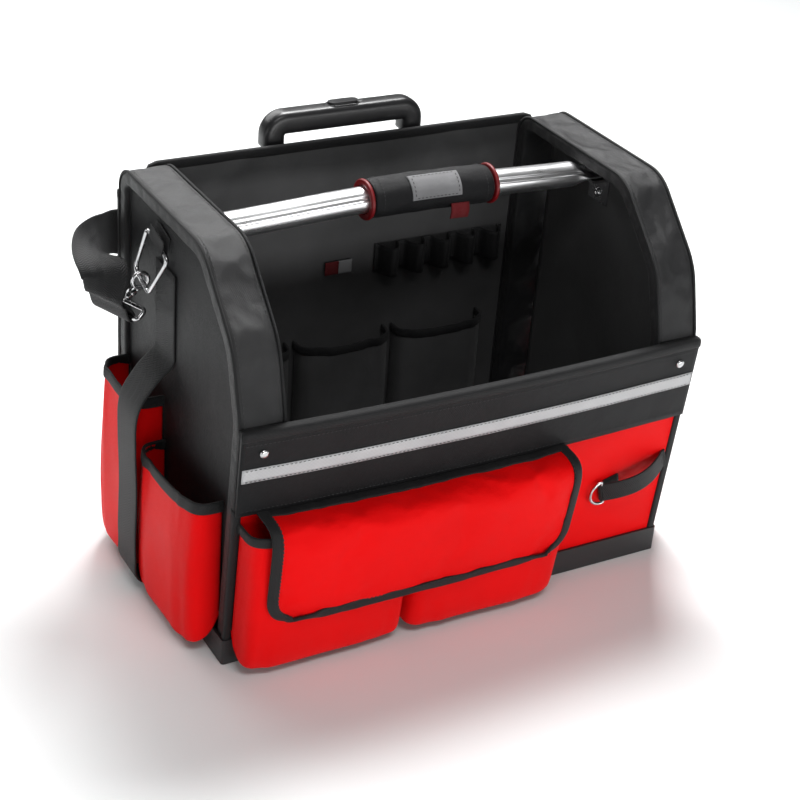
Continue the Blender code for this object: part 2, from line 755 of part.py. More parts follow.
def make_snap_hooks(finishes):
    for label, side in (("left", -1), ("right", 1)):
        eye, near, bar, away = hook_frame(side)
        far = near + away * HOOK_FRAME_WIDTH
        half = bar * HOOK_BAR_LENGTH / 2
        hook = as_mesh(wire("snap_hook_" + label, [near - half, far - half, far + half, near + half],
                            HOOK_WIRE, finishes["steel"], cyclic=True, sides=1))
        spoke = near - eye
        spoke.y = 0.0
        spoke.normalize()
        upright = Vector((0, 1, 0)).cross(spoke)
        ring = [eye + (spoke * cos(angle) + upright * sin(angle)) * HOOK_LOOP_RADIUS
                for angle in (2 * pi * step / 12 for step in range(12))]
        loop = as_mesh(wire("hook_eye_" + label, ring, HOOK_EYE_WIRE, finishes["steel"], cyclic=True, sides=1))
        shank = rod("hook_shank_" + label, HOOK_SHANK, eye + spoke * HOOK_LOOP_RADIUS, near, finishes["steel"],
                    sides=10)
        combine(hook, loop, "UNION")
        combine(hook, shank, "UNION")


def strap_route():
    """Centre points and width directions of the left half of the shoulder strap, from its sewn end round the
    hook's far bar, up and round the rear corner, and down behind the trolley to the middle."""
    _, near, bar, away = hook_frame(-1)
    far = near + away * HOOK_FRAME_WIDTH
    upright = away.cross(bar) if away.cross(bar).z > 0 else bar.cross(away)
    wrap = HOOK_WIRE + WEBBING / 2 + 2 * GAP
    standing = Vector((0, 0, 1))
    behind = CHASSIS_BACK + STRAP_BEHIND
    side, rear = -HALF_LENGTH, HALF_DEPTH
    lead = WEBBING / 2 + GAP
    return [
        (far - away * (lead + GAP) + upright * 0.024, bar),
        (far - away * (lead + GAP) + upright * 0.016, bar),
        (far - away * wrap + upright * 0.004, bar),
        (far - away * wrap * 0.77 - upright * wrap * 0.77, bar),
        (far - upright * wrap * 1.04, bar),
        (far + away * wrap * 0.77 - upright * wrap * 0.77, bar),
        (far + away * wrap + upright * 0.004, bar),
        (far + away * lead + upright * 0.018, bar),
        (far + away * lead + upright * 0.028, bar),
        (Vector((side - 0.038, rear - 0.065, HOOP_HEIGHT - 0.092)), Vector((-0.80, 0.59, 0.06))),
        (Vector((side - 0.039, rear - 0.044, HOOP_HEIGHT - 0.083)), Vector((-1.0, 0.12, 0.10))),
        (Vector((side - 0.034, rear - 0.021, HOOP_HEIGHT - 0.082)), Vector((-0.85, 0.0, 0.50))),
        (Vector((side - 0.026, rear - 0.003, HOOP_HEIGHT - 0.085)), Vector((-0.45, 0.05, 0.90))),
        (Vector((side - 0.012, rear + 0.016, HOOP_HEIGHT - 0.089)), Vector((-0.10, 0.0, 1.0))),
        (Vector((side * 0.94, behind - 0.013, HOOP_HEIGHT - 0.096)), standing),
        (Vector((side * 0.72, behind, HOOP_HEIGHT - 0.125)), standing),
        (Vector((side * 0.48, behind, HOOP_HEIGHT - 0.167)), standing),
        (Vector((side * 0.24, behind, HOOP_HEIGHT - STRAP_SAG + 0.017)), standing),
        (Vector((0.0, behind, HOOP_HEIGHT - STRAP_SAG)), standing),
    ]


def make_shoulder_strap(finishes):
    half = strap_route()
    flip = Vector((-1, 1, 1))
    both = half + [(point * flip, width * Vector((-1, 1, 1))) for point, width in reversed(half[:-1])]
    centres = smooth_route([point for point, _ in both], 2)
    widths = smooth_route([width for _, width in both], 2)

    def shape(u, v):
        centre, ahead, behind = along(centres, v), along(centres, v + 0.004), along(centres, v - 0.004)
        run = (ahead - behind).normalized()
        width = along(widths, v)
        width = (width - run * width.dot(run)).normalized()
        return centre + width * (u - 0.5) * STRAP_WIDTH

    strap = sheet("shoulder_strap", 1, len(centres) - 1, shape, WEBBING, finishes["webbing"])
    strap.modifiers["thickness"].offset = 0.0
    strap.modifiers["thickness"].use_even_offset = False
    strap.modifiers.new("flat_faces", "TRIANGULATE")


def bar_stations():
    """The places along X where the crossbar's facets meet: even over the round part, closer where it is pressed."""
    flat_from = PANEL_INSIDE - BAR_FLAT_LENGTH
    half = [flat_from * step / 4 for step in range(1, 5)]
    half += [flat_from + BAR_PRESS_LENGTH / 2, flat_from + BAR_PRESS_LENGTH, BAR_END]
    return [-x for x in reversed(half)] + [0.0] + half


def bar_height(x):
    """The height of the crossbar's middle, straight between its stations."""
    stations = bar_stations()
    i = max(k for k in range(len(stations) - 1) if stations[k] <= x or k == 0)
    low, high = (BAR_HEIGHT - BAR_DROP * (1 - cos(pi * at / PANEL_INSIDE)) / 2 for at in stations[i:i + 2])
    return low + (high - low) * (x - stations[i]) / (stations[i + 1] - stations[i])


def tube_section(x):
    """Half depth and half height of the crossbar, which is pressed flat at its two ends."""
    flat_from = PANEL_INSIDE - BAR_FLAT_LENGTH
    share = min(max((abs(x) - flat_from) / BAR_PRESS_LENGTH, 0.0), 1.0)
    ease = share * share * (3 - 2 * share)
    return (BAR_HALF_DEPTH + (BAR_FLAT_HALF_DEPTH - BAR_HALF_DEPTH) * ease,
            BAR_HALF_HEIGHT + (BAR_FLAT_HALF_HEIGHT - BAR_HALF_HEIGHT) * ease)


def bar_tube(name, start, end, extra, thickness, material, first=0, last=BAR_SIDES):
    """A tube around the crossbar's line, or some of its sides, a set distance outside the crossbar's surface. Its
    facets lie over the crossbar's own."""
    stations = [start, *(x for x in bar_stations() if start + 1e-4 < x < end - 1e-4), end]
    grown = extra / cos(pi / BAR_SIDES)

    def shape(u, v):
        x = stations[round(v * (len(stations) - 1))]
        depth, height = tube_section(x)
        turn = 2 * pi * (first + u * (last - first)) / BAR_SIDES
        return Vector((x, BAR_Y + (depth + grown) * cos(turn), bar_height(x) + (height + grown) * sin(turn)))

    whole = last - first == BAR_SIDES
    return sheet(name, last - first, len(stations) - 1, shape, thickness, material, closed=whole)


def make_crossbar(finishes):
    bar_tube("crossbar", -BAR_END, BAR_END, 0.0, BAR_WALL, finishes["aluminium"])
    bar_tube("crossbar_grip", GRIP_LEFT, GRIP_RIGHT, GAP + GRIP_PAD, GRIP_PAD, finishes["pad"])
    trims = (("left", GRIP_LEFT - GAP - TRIM_LENGTH, GRIP_LEFT - GAP),
             ("right", GRIP_RIGHT + GAP, GRIP_RIGHT + GAP + TRIM_LENGTH))
    for label, start, stop in trims:
        bar_tube("grip_trim_" + label, start, stop, GAP + GRIP_PAD + TRIM_PROUD, GRIP_PAD + TRIM_PROUD,
                 finishes["trim"])
    middle = (GRIP_LEFT + GRIP_RIGHT) / 2
    bar_tube("grip_patch", middle - PATCH_LENGTH / 2, middle + PATCH_LENGTH / 2,
             2 * GAP + GRIP_PAD + PATCH_THICK, PATCH_THICK, finishes["patch"], first=3, last=7)
    for label, side in (("left", -1), ("right", 1)):
        under = bar_height(PANEL_INSIDE) - BAR_FLAT_HALF_HEIGHT - 2 * GAP
        wall = PANEL_INSIDE - GAP
        line = [Vector((wall - BRACKET_REACH, under)), Vector((wall - BRACKET_THICK * 0.6, under)),
                Vector((wall, under - BRACKET_THICK * 0.6)), Vector((wall, under - BRACKET_DROP))]

        def bracket(u, v, side=side, line=line):
            x, z = along(line, v)
            return Vector((side * x, BAR_Y + side * (u - 0.5) * BRACKET_WIDTH, z))

        plate = sheet("crossbar_bracket_" + label, 1, len(line) - 1, bracket, BRACKET_THICK, finishes["steel"])
        plate.modifiers["thickness"].offset = 1.0


def make_inner_pockets(finishes):
    pitch = INNER_POCKET_WIDTH + INNER_POCKET_SPACING
    for label, step in (("left", -1), ("middle", 0), ("right", 1)):
        start = step * pitch - INNER_POCKET_WIDTH / 2
        pocket("inner_pocket_" + label, back_inside_point, start, start + INNER_POCKET_WIDTH, INNER_POCKET_BOTTOM,
               INNER_POCKET_SEAM, INNER_POCKET_TOP, INNER_POCKET_DEPTH, finishes["black"], roundness=0.55)


def make_tool_loops(finishes):
    steps = 8

    def shape(u, v):
        share = (u * LOOP_COUNT + 1e-6) % 1.0
        arch = min(max((share - LOOP_SEAM / 2) / (1 - LOOP_SEAM), 0.0), 1.0)
        out = CLOTH + 2 * GAP + LOOP_DEPTH * sin(pi * arch) ** 0.7
        return back_inside_point(LOOP_START + u * LOOP_COUNT * LOOP_WIDTH, LOOP_BOTTOM + v * LOOP_HEIGHT, out)

    sheet("tool_loops", LOOP_COUNT * steps, 1, shape, CLOTH, finishes["webbing"])


def slot_tube(name, x, size, wall, bottom, top, material):
    """An upright tube of rounded rectangular section, open at both ends."""
    width, depth = size

    def shape(u, v):
        turn = 2 * pi * (u + 1 / 32)
        c, s = cos(turn), sin(turn)
        power = 0.45
        px = abs(c) ** power * (1 if c > 0 else -1) * width / 2
        py = abs(s) ** power * (1 if s > 0 else -1) * depth / 2
        return Vector((x + px, TROLLEY_Y + py, bottom + v * (top - bottom)))

    return sheet(name, 16, 1, shape, wall, material, closed=True)


def tube_sizes():
    step = 2 * (TUBE_WALL + SLIDE_GAP)
    outer = OUTER_TUBE
    mid = (outer[0] - step, outer[1] - step)
    inner = (mid[0] - step, mid[1] - step)
    return outer, mid, inner


def slot_cutter(name, x, size, bottom, top, finishes):
    return block(name, (x - size[0] / 2 - GAP, TROLLEY_Y - size[1] / 2 - GAP, bottom),
                 (x + size[0] / 2 + GAP, TROLLEY_Y + size[1] / 2 + GAP, top), finishes["plastic"],
                 collection=cutters)


def make_trolley_frame(finishes):
    outer, mid, inner = tube_sizes()
    wheel_inner = WHEEL_X - BOSS_WIDTH / 2 - CHEEK_GAP - CHEEK
    chassis = block("trolley_chassis", (-wheel_inner + GAP, TRAY_BACK + GAP, CHASSIS_BOTTOM),
                    (wheel_inner - GAP, CHASSIS_BACK, CHASSIS_BOTTOM + CHASSIS_HEIGHT), finishes["plastic"])
    guide = block("trolley_guide", (-GUIDE_LENGTH / 2, HALF_DEPTH + GAP, GUIDE_TOP - GUIDE_HEIGHT),
                  (GUIDE_LENGTH / 2, CHASSIS_BACK, GUIDE_TOP), finishes["plastic"])
    socket_floor = CHASSIS_BOTTOM + CHASSIS_HEIGHT - SOCKET_DEPTH
    for label, side in (("left", -1), ("right", 1)):
        x = side * TUBE_SPACING / 2
        socket = slot_cutter("socket_" + label, x, outer, socket_floor, CHASSIS_BOTTOM + CHASSIS_HEIGHT + 0.01,
                             finishes)
        combine(chassis, socket, "DIFFERENCE")
        hole = slot_cutter("guide_hole_" + label, x, outer, GUIDE_TOP - GUIDE_HEIGHT - 0.01, GUIDE_TOP + 0.01,
                           finishes)
        combine(guide, hole, "DIFFERENCE")
        low = socket_floor + GAP
        slot_tube("outer_tube_" + label, x, outer, TUBE_WALL, low, OUTER_TUBE_TOP, finishes["aluminium"])
        slot_tube("mid_tube_" + label, x, mid, TUBE_WALL, low + 0.010, MID_TUBE_TOP, finishes["aluminium"])
        slot_tube("inner_tube_" + label, x, inner, TUBE_WALL, low + 0.020, INNER_TUBE_TOP,
                  finishes["aluminium"])


def make_trolley_grip(finishes):
    _, _, inner = tube_sizes()
    reach = TUBE_SPACING / 2
    bar_z = GRIP_BAR_TOP - GRIP_BAR_HEIGHT / 2
    line = rounded([(-reach, GRIP_LEG_BOTTOM, 0.0), (-reach, bar_z, GRIP_BEND), (reach, bar_z, GRIP_BEND),
                    (reach, GRIP_LEG_BOTTOM, 0.0)])
    sides = 12
    normals = [(b - a).normalized() for a, b in zip([line[0], *line], [*line[1:], line[-1]])]
    normals[0], normals[-1] = Vector((0, 1)), Vector((0, -1))

    def shape(u, v):
        i = round(v * (len(line) - 1))
        centre, run = line[i], normals[i]
        side = Vector((-run.y, run.x))
        turn = 2 * pi * u
        c, s = cos(turn), sin(turn)
        across = abs(c) ** 0.7 * (1 if c > 0 else -1) * GRIP_BAR_HEIGHT / 2
        deep = abs(s) ** 0.7 * (1 if s > 0 else -1) * GRIP_BAR_DEPTH / 2
        return Vector((centre.x + side.x * across, TROLLEY_Y + deep, centre.y + side.y * across))

    bm = bmesh.new()
    bmesh.ops.create_grid(bm, x_segments=sides, y_segments=len(line) - 1, size=0.5)
    for vert in bm.verts:
        vert.co = shape(vert.co.x + 0.5, vert.co.y + 0.5)
    bmesh.ops.remove_doubles(bm, verts=bm.verts, dist=1e-6)
    bmesh.ops.holes_fill(bm, edges=bm.edges, sides=sides + 2)
    grip = add_object("trolley_grip", mesh_from(bm, "trolley_grip"), finishes["plastic"])
    for label, side in (("left", -1), ("right", 1)):
        hole = slot_cutter("grip_hole_" + label, side * reach, inner, GRIP_LEG_BOTTOM - 0.01,
                           INNER_TUBE_TOP + GAP, finishes)
        combine(grip, hole, "DIFFERENCE")
    recess = button_shape("button_recess", GAP, GRIP_BAR_TOP + BUTTON_PROUD - BUTTON_HEIGHT - BUTTON_TRAVEL
                          - 2 * GAP, GRIP_BAR_TOP + 0.01, finishes, cutters)
    combine(grip, recess, "DIFFERENCE")
    top = GRIP_BAR_TOP + BUTTON_PROUD
    button_shape("grip_button", 0.0, top - BUTTON_HEIGHT, top, finishes, parts)


def button_shape(name, extra, bottom, top, finishes, collection):
    """An upright oval: a cylinder stretched along the grip."""
    bm = bmesh.new()
    bmesh.ops.create_cone(bm, cap_ends=True, segments=20, radius1=1.0, radius2=1.0, depth=1.0)
    stretch = (BUTTON_LENGTH - BUTTON_WIDTH) / 2
    for vert in bm.verts:
        x = vert.co.x * (BUTTON_WIDTH / 2 + extra)
        shift = stretch if x > 1e-6 else -stretch if x < -1e-6 else 0.0
        vert.co = Vector((x + shift, TROLLEY_Y + vert.co.y * (BUTTON_WIDTH / 2 + extra),
                          bottom + (vert.co.z + 0.5) * (top - bottom)))
    return add_object(name, mesh_from(bm, name), finishes["plastic"], collection)


def make_wheels(finishes):
    half_boss = BOSS_WIDTH / 2
    half_width = WHEEL_WIDTH / 2
    bore = AXLE_RADIUS + GAP
    tyre = [(WHEEL_RADIUS - 0.004, half_width), (WHEEL_RADIUS - 0.001, half_width - 0.003),
            (WHEEL_RADIUS, half_width - 0.007), (WHEEL_RADIUS, 0.007 - half_width),
            (WHEEL_RADIUS - 0.001, 0.003 - half_width), (WHEEL_RADIUS - 0.004, -half_width),
            (RIM_RADIUS, -half_width), (RIM_RADIUS, half_width)]
    rim = RIM_RADIUS - GAP
    hub = [(bore + 0.005, half_boss), (bore + 0.005, 0.004), (rim - 0.004, 0.004), (rim - 0.003, half_width),
           (rim, half_width), (rim, -half_width), (rim - 0.003, -half_width), (rim - 0.004, -0.004),
           (bore + 0.005, -0.004), (bore + 0.005, -half_boss), (bore, -half_boss), (bore, half_boss)]
    for label, side in (("left", -1), ("right", 1)):
        place = Matrix.Translation((side * WHEEL_X, AXLE_Y, AXLE_Z)) @ Matrix.Rotation(radians(90), 4, "Y")
        turned("tyre_" + label, tyre, place, finishes["rubber"], 24)
        turned("wheel_hub_" + label, hub, place, finishes["hub"], 16)
        inner = half_boss + CHEEK_GAP
        outer = inner + CHEEK
        x_low, x_high = side * WHEEL_X - outer, side * WHEEL_X + outer
        housing = block("wheel_housing_" + label, (x_low, TRAY_BACK + GAP, HOUSING_BOTTOM),
                        (x_high, TRAY_BACK + HOUSING_BEHIND, HOUSING_TOP), finishes["plastic"])
        well_radius = WHEEL_RADIUS + WHEEL_CLEARANCE
        middle = side * WHEEL_X
        well = rod("well_" + label, well_radius, (middle - inner, AXLE_Y, AXLE_Z),
                   (middle + inner, AXLE_Y, AXLE_Z), finishes["plastic"], sides=32, collection=cutters)
        open_back = block("open_back_" + label, (middle - inner, AXLE_Y, -0.01),
                          (middle + inner, AXLE_Y + 0.1, AXLE_Z + well_radius * 0.82), finishes["plastic"],
                          collection=cutters)
        combine(housing, well, "DIFFERENCE")
        combine(housing, open_back, "DIFFERENCE")
        hole = rod("axle_hole_" + label, AXLE_RADIUS + GAP, (middle - 0.05, AXLE_Y, AXLE_Z),
                   (middle + 0.05, AXLE_Y, AXLE_Z), finishes["steel"], collection=cutters)
        combine(housing, hole, "DIFFERENCE")
        tip = -outer - AXLE_HEAD_THICK * 0.6
        seat, crown = outer + GAP, outer + GAP + AXLE_HEAD_THICK
        pin = [(0.0, crown), (AXLE_HEAD_RADIUS, crown), (AXLE_HEAD_RADIUS, seat), (AXLE_RADIUS, seat),
               (AXLE_RADIUS, tip), (0.0, tip)]
        pin_place = Matrix.Translation((middle, AXLE_Y, AXLE_Z)) @ Matrix.Rotation(radians(90 * side), 4, "Y")
        turned("axle_" + label, pin, pin_place, finishes["steel"], 16, closed=False)


def main():
    clear_scene()
    finishes = make_finishes()
    make_tray(finishes)
    make_walls(finishes)
    make_hoops(finishes)
    make_front_band(finishes)
    make_front_pockets(finishes)
    make_flap(finishes)
    make_holster(finishes)
    make_side_pockets(finishes)
    make_side_webbing(finishes)
    make_carry_rings(finishes)
    make_snap_hooks(finishes)
    make_shoulder_strap(finishes)
    make_crossbar(finishes)
    make_inner_pockets(finishes)
    make_tool_loops(finishes)
    make_trolley_frame(finishes)
    make_trolley_grip(finishes)
    make_wheels(finishes)


main()
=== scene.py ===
"""Dresses the wheeled tool bag: cloth, webbing, stitching, metal and moulded parts, in metres, +Z up."""
import bpy
import numpy as np
from bisect import bisect_left
from math import ceil, copysign, cos, pi, radians, sin, sqrt
from mathutils import Matrix, Vector, noise


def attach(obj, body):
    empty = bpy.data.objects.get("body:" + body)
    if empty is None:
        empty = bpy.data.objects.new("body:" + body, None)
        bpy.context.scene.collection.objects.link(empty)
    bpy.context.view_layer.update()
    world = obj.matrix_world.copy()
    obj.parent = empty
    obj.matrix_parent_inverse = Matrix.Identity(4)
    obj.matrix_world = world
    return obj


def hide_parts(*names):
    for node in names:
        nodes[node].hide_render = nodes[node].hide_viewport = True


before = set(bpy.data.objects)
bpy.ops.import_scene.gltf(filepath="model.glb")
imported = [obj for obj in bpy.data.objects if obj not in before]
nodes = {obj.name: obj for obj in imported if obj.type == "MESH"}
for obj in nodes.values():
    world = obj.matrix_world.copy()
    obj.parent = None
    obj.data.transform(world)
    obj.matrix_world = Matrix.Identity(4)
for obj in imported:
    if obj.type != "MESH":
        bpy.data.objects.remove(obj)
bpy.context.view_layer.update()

# The frame's main lines
HALF_LENGTH = 0.270
HALF_DEPTH = 0.147
HOOP_TOP = 0.437
BACK_TOP = 0.433
FRONT_TOP = 0.288
FLOOR = 0.0043
TRAY_TOP = 0.030
PANEL = 0.264
BACK_INSIDE = 0.143
WALL = 0.004
SLOPE = 0.022 / 0.258
FRONT_BOW = 0.008
BAND_BOTTOM = 0.190
HOOP_WIDTH = 0.051
HOOP_PAD = 0.016
GAP = 0.0003
SIDES = (("left", -1), ("right", 1))

# Thicknesses of cloth and webbing
POCKET_CLOTH = 0.0018
PANEL_CLOTH = 0.0016
THIN_LINING = 0.0010
WEB_WIDTH = 0.050
WEB_THICK = 0.0024


def ease(low, high, x):
    t = min(max((x - low) / (high - low), 0.0), 1.0)
    return t * t * (3 - 2 * t)


def front_y(z):
    return -HALF_DEPTH - (z - TRAY_TOP) * SLOPE


def bow(x, z):
    """How far the cloth of the front stands out between its two ends."""
    return FRONT_BOW * (1 - min(abs(x) / HALF_LENGTH, 1.0) ** 2) * ease(0.03, 0.20, z)


def on_front(x, z, out):
    return Vector((x, front_y(z) - out - bow(x, z), z))


def on_side(side, y, z, out):
    return Vector((side * (PANEL + out), y, z))


def on_back_inside(x, z, out):
    return Vector((x, BACK_INSIDE - out, z))


def rough_at(point, scale, seed=0.0):
    return noise.noise(Vector(point) * scale + Vector((seed, seed * 1.7, -seed)))


def spline(table, t):
    """A smooth line through the rows of a table; t runs from 0 at the first row to 1 at the last."""
    last = len(table) - 1
    place = min(max(t, 0.0), 1.0) * last
    i = min(int(place), last - 1)
    f = place - i
    before, a, b, after = (np.array(table[min(max(k, 0), last)], float) for k in (i - 1, i, i + 1, i + 2))
    bend = 2 * before - 5 * a + 4 * b - after + f * (3 * (a - b) + after - before)
    return a + 0.5 * f * (b - before + f * bend)


# Materials

class Finish:
    """A material whose nodes are added one at a time."""

    def __init__(self, name, **values):
        self.material = bpy.data.materials.new(name)
        self.material.use_nodes = True
        self.tree = self.material.node_tree
        self.shader = self.tree.nodes["Principled BSDF"]
        for socket, value in values.items():
            self.shader.inputs[socket.replace("_", " ")].default_value = value

    def node(self, kind, sockets, **settings):
        made = self.tree.nodes.new("ShaderNode" + kind)
        for name, value in settings.items():
            setattr(made, name, value)
        for key, value in sockets.items():
            if isinstance(value, bpy.types.NodeSocket):
                self.tree.links.new(value, made.inputs[key])
            else:
                made.inputs[key].default_value = value
        return made

    def math(self, operation, a, b=0.0):
        return self.node("Math", {0: a, 1: b}, operation=operation).outputs[0]

    def wave(self, length, pitch):
        return self.math("SINE", self.math("MULTIPLY", length, 2 * pi / pitch))

    def place(self, kind="Object"):
        return self.node("TexCoord", {}).outputs[kind]

    def uv(self):
        parts = self.node("SeparateXYZ", {0: self.place("UV")}).outputs
        return parts[0], parts[1]

    def noise(self, scale, detail=2.0, rough=0.5, stretch=None):
        vector = self.place()
        if stretch:
            vector = self.node("Mapping", {"Vector": vector, "Scale": stretch}).outputs[0]
        sockets = {"Scale": scale, "Detail": detail, "Roughness": rough, "Vector": vector}
        return self.node("TexNoise", sockets).outputs["Fac"]

    def ramp(self, value, low, high, start=0.0, stop=1.0):
        sockets = {"Value": value, "From Min": start, "From Max": stop, "To Min": low, "To Max": high}
        return self.node("MapRange", sockets).outputs[0]

    def mix(self, share, *colours):
        a, b = (c if isinstance(c, bpy.types.NodeSocket) else (*c, 1.0) for c in colours)
        return self.node("Mix", {0: share, 6: a, 7: b}, data_type="RGBA").outputs[2]

    def set(self, name, socket):
        self.tree.links.new(socket, self.shader.inputs[name])

    def bump(self, height, distance, strength=1.0, onto=None):
        sockets = {"Height": height, "Distance": distance, "Strength": strength}
        if onto is not None:
            sockets["Normal"] = onto
        made = self.node("Bump", sockets).outputs[0]
        self.set("Normal", made)
        return made


def fabric(name, deep, bright, roughness, pitch=0.0017, sheen=0.10, worn=(0.5, 0.5, 0.5), wear=0.10,
           shine=0.35, tint=(1.0, 1.0, 1.0)):
    """Coated woven polyester: a thread pattern along the cloth's own lengths, with faded and dusty places."""
    f = Finish(name, Sheen_Weight=sheen, Sheen_Roughness=0.45, Specular_IOR_Level=shine,
               Specular_Tint=(*tint, 1.0))
    u, v = f.uv()
    thread = f.ramp(f.math("MULTIPLY", f.wave(u, pitch), f.wave(v, pitch)), 0.0, 1.0, -1.0, 1.0)
    cloud = f.noise(7.0, 3.0, 0.55)
    grain = f.noise(420.0, 2.0, 0.6)
    base = f.mix(f.ramp(cloud, 0.0, 1.0, 0.32, 0.68), deep, bright)
    base = f.mix(f.ramp(thread, 0.30, 0.0), base, tuple(c * 0.35 for c in deep))
    dust = f.math("MULTIPLY", f.ramp(f.noise(23.0, 4.0, 0.65), 0.0, wear, 0.50, 0.78), grain)
    f.set("Base Color", f.mix(dust, base, worn))
    f.set("Roughness", f.ramp(f.math("ADD", cloud, grain), roughness - 0.10, roughness + 0.08, 0.6, 1.4))
    soft = f.bump(f.noise(38.0, 3.0, 0.5), 0.0022, 0.55)
    f.bump(f.math("ADD", thread, f.math("MULTIPLY", grain, 0.6)), 0.00035, 0.75, onto=soft)
    return f.material


def tape(name, deep, bright, roughness, sheen, rib=0.0013):
    """Woven webbing: slanting ribs that turn at the middle of the tape."""
    f = Finish(name, Sheen_Weight=sheen, Sheen_Roughness=0.5, Specular_IOR_Level=0.35)
    u, v = f.uv()
    zig = f.math("MULTIPLY", f.math("PINGPONG", u, 0.006), 1500.0)
    slant = f.math("SINE", f.math("ADD", f.math("MULTIPLY", v, 2 * pi / rib), zig))
    thread = f.ramp(f.math("ADD", slant, f.math("MULTIPLY", f.wave(u, 0.0016), 0.4)), 0.0, 1.0, -1.4, 1.4)
    cloud = f.noise(16.0, 3.0)
    base = f.mix(f.ramp(cloud, 0.0, 1.0, 0.3, 0.7), deep, bright)
    f.set("Base Color", f.mix(f.ramp(thread, 0.5, 0.0), base, tuple(c * 0.3 for c in deep)))
    f.set("Roughness", f.ramp(cloud, roughness - 0.06, roughness + 0.08))
    f.bump(thread, 0.0005, 0.8)
    return f.material


def moulded(name, deep, bright, roughness, grain=900.0, depth=0.00025):
    """Moulded plastic or rubber with a fine spark-eroded grain and handling marks."""
    f = Finish(name, Specular_IOR_Level=0.45)
    cloud = f.noise(11.0, 4.0, 0.6)
    scuff = f.noise(1.0, 4.0, 0.7, (60.0, 14.0, 240.0))
    scuffed = tuple(min(1.0, c * 2.2 + 0.04) for c in bright)
    f.set("Base Color", f.mix(f.ramp(scuff, 0.0, 0.35, 0.60, 0.80), f.mix(cloud, deep, bright), scuffed))
    f.set("Roughness", f.ramp(f.math("ADD", cloud, scuff), roughness - 0.08, roughness + 0.10, 0.6, 1.4))
    f.bump(f.noise(grain, 2.0, 0.6), depth, 0.6)
    return f.material


def metal(name, deep, bright, roughness, stretch=(240.0, 240.0, 240.0), depth=0.00008):
    """Bare or plated metal with drawn lines and small scratches."""
    f = Finish(name, Metallic=1.0)
    lines = f.noise(1.0, 5.0, 0.65, stretch)
    both = f.math("ADD", lines, f.noise(14.0, 3.0))
    f.set("Base Color", f.mix(f.ramp(both, 0.0, 1.0, 0.7, 1.3), deep, bright))
    f.set("Roughness", f.ramp(both, roughness - 0.06, roughness + 0.10, 0.6, 1.4))
    f.bump(lines, depth, 0.5)
    return f.material


def reflective(name):
    """Retro-reflective tape: a fine lattice of cells under a smooth film."""
    f = Finish(name, Specular_IOR_Level=0.6, Coat_Weight=0.25, Coat_Roughness=0.2)
    u, v = f.uv()
    one, two = (f.wave(f.math(way, u, v), 0.0042) for way in ("ADD", "SUBTRACT"))
    cell = f.ramp(f.math("MAXIMUM", one, two), 0.0, 1.0, 0.86, 1.0)
    cloud = f.noise(30.0, 4.0, 0.6)
    base = f.mix(cloud, (0.40, 0.40, 0.41), (0.56, 0.56, 0.57))
    f.set("Base Color", f.mix(f.math("MULTIPLY", cell, 0.35), base, (0.30, 0.30, 0.31)))
    f.set("Roughness", f.ramp(cloud, 0.30, 0.46))
    f.bump(cell, 0.0002, 0.5)
    return f.material


RED = fabric("red_cloth", (0.86, 0.0004, 0.0012), (0.98, 0.0012, 0.0024), 0.52, sheen=0.02,
             worn=(0.96, 0.02, 0.02), shine=0.16, tint=(1.0, 0.40, 0.40))
BLACK = fabric("black_cloth", (0.004, 0.004, 0.005), (0.010, 0.010, 0.011), 0.50, sheen=0.04,
               worn=(0.07, 0.069, 0.068), wear=0.08, shine=0.20)
PADDED = fabric("padded_cloth", (0.007, 0.007, 0.008), (0.015, 0.015, 0.016), 0.47, sheen=0.09,
                worn=(0.12, 0.119, 0.117), wear=0.14, shine=0.40)
LINING = fabric("black_lining", (0.046, 0.046, 0.047), (0.088, 0.088, 0.090), 0.60, pitch=0.0014,
                worn=(0.18, 0.178, 0.175))
GREY_TAPE = fabric("grey_patch_cloth", (0.17, 0.17, 0.175), (0.30, 0.30, 0.31), 0.6, pitch=0.0012)
TAPE = tape("black_webbing", (0.005, 0.005, 0.006), (0.012, 0.012, 0.013), 0.60, 0.06, rib=0.0021)
BINDING = tape("black_binding", (0.004, 0.004, 0.005), (0.010, 0.010, 0.011), 0.64, 0.05)
RED_TAPE = tape("red_binding", (0.10, 0.001, 0.003), (0.19, 0.002, 0.006), 0.60, 0.03)
TRIM = moulded("dark_red_trim", (0.13, 0.001, 0.003), (0.21, 0.002, 0.005), 0.46, grain=600.0)
THREAD = moulded("black_thread", (0.014, 0.014, 0.015), (0.036, 0.036, 0.037), 0.6)
RED_THREAD = moulded("red_thread", (0.45, 0.01, 0.01), (0.66, 0.03, 0.03), 0.6)
PLASTIC = moulded("black_plastic_grain", (0.012, 0.012, 0.013), (0.024, 0.024, 0.025), 0.46)
SATIN = moulded("satin_plastic", (0.010, 0.010, 0.011), (0.018, 0.018, 0.019), 0.32, 1500.0, 0.0001)
RUBBER = moulded("tyre_rubber_grain", (0.014, 0.014, 0.014), (0.028, 0.028, 0.028), 0.78, 700.0, 0.0004)
ALLOY = metal("drawn_aluminium", (0.84, 0.84, 0.85), (0.95, 0.95, 0.96), 0.30, (5.0, 420.0, 420.0), 0.00004)
TUBE = metal("anodised_tube", (0.42, 0.42, 0.44), (0.66, 0.66, 0.68), 0.32, (700.0, 700.0, 6.0))
STEEL = metal("plated_steel_bright", (0.50, 0.50, 0.51), (0.82, 0.82, 0.83), 0.22)
STRIPE = reflective("reflective_film")


# Meshes

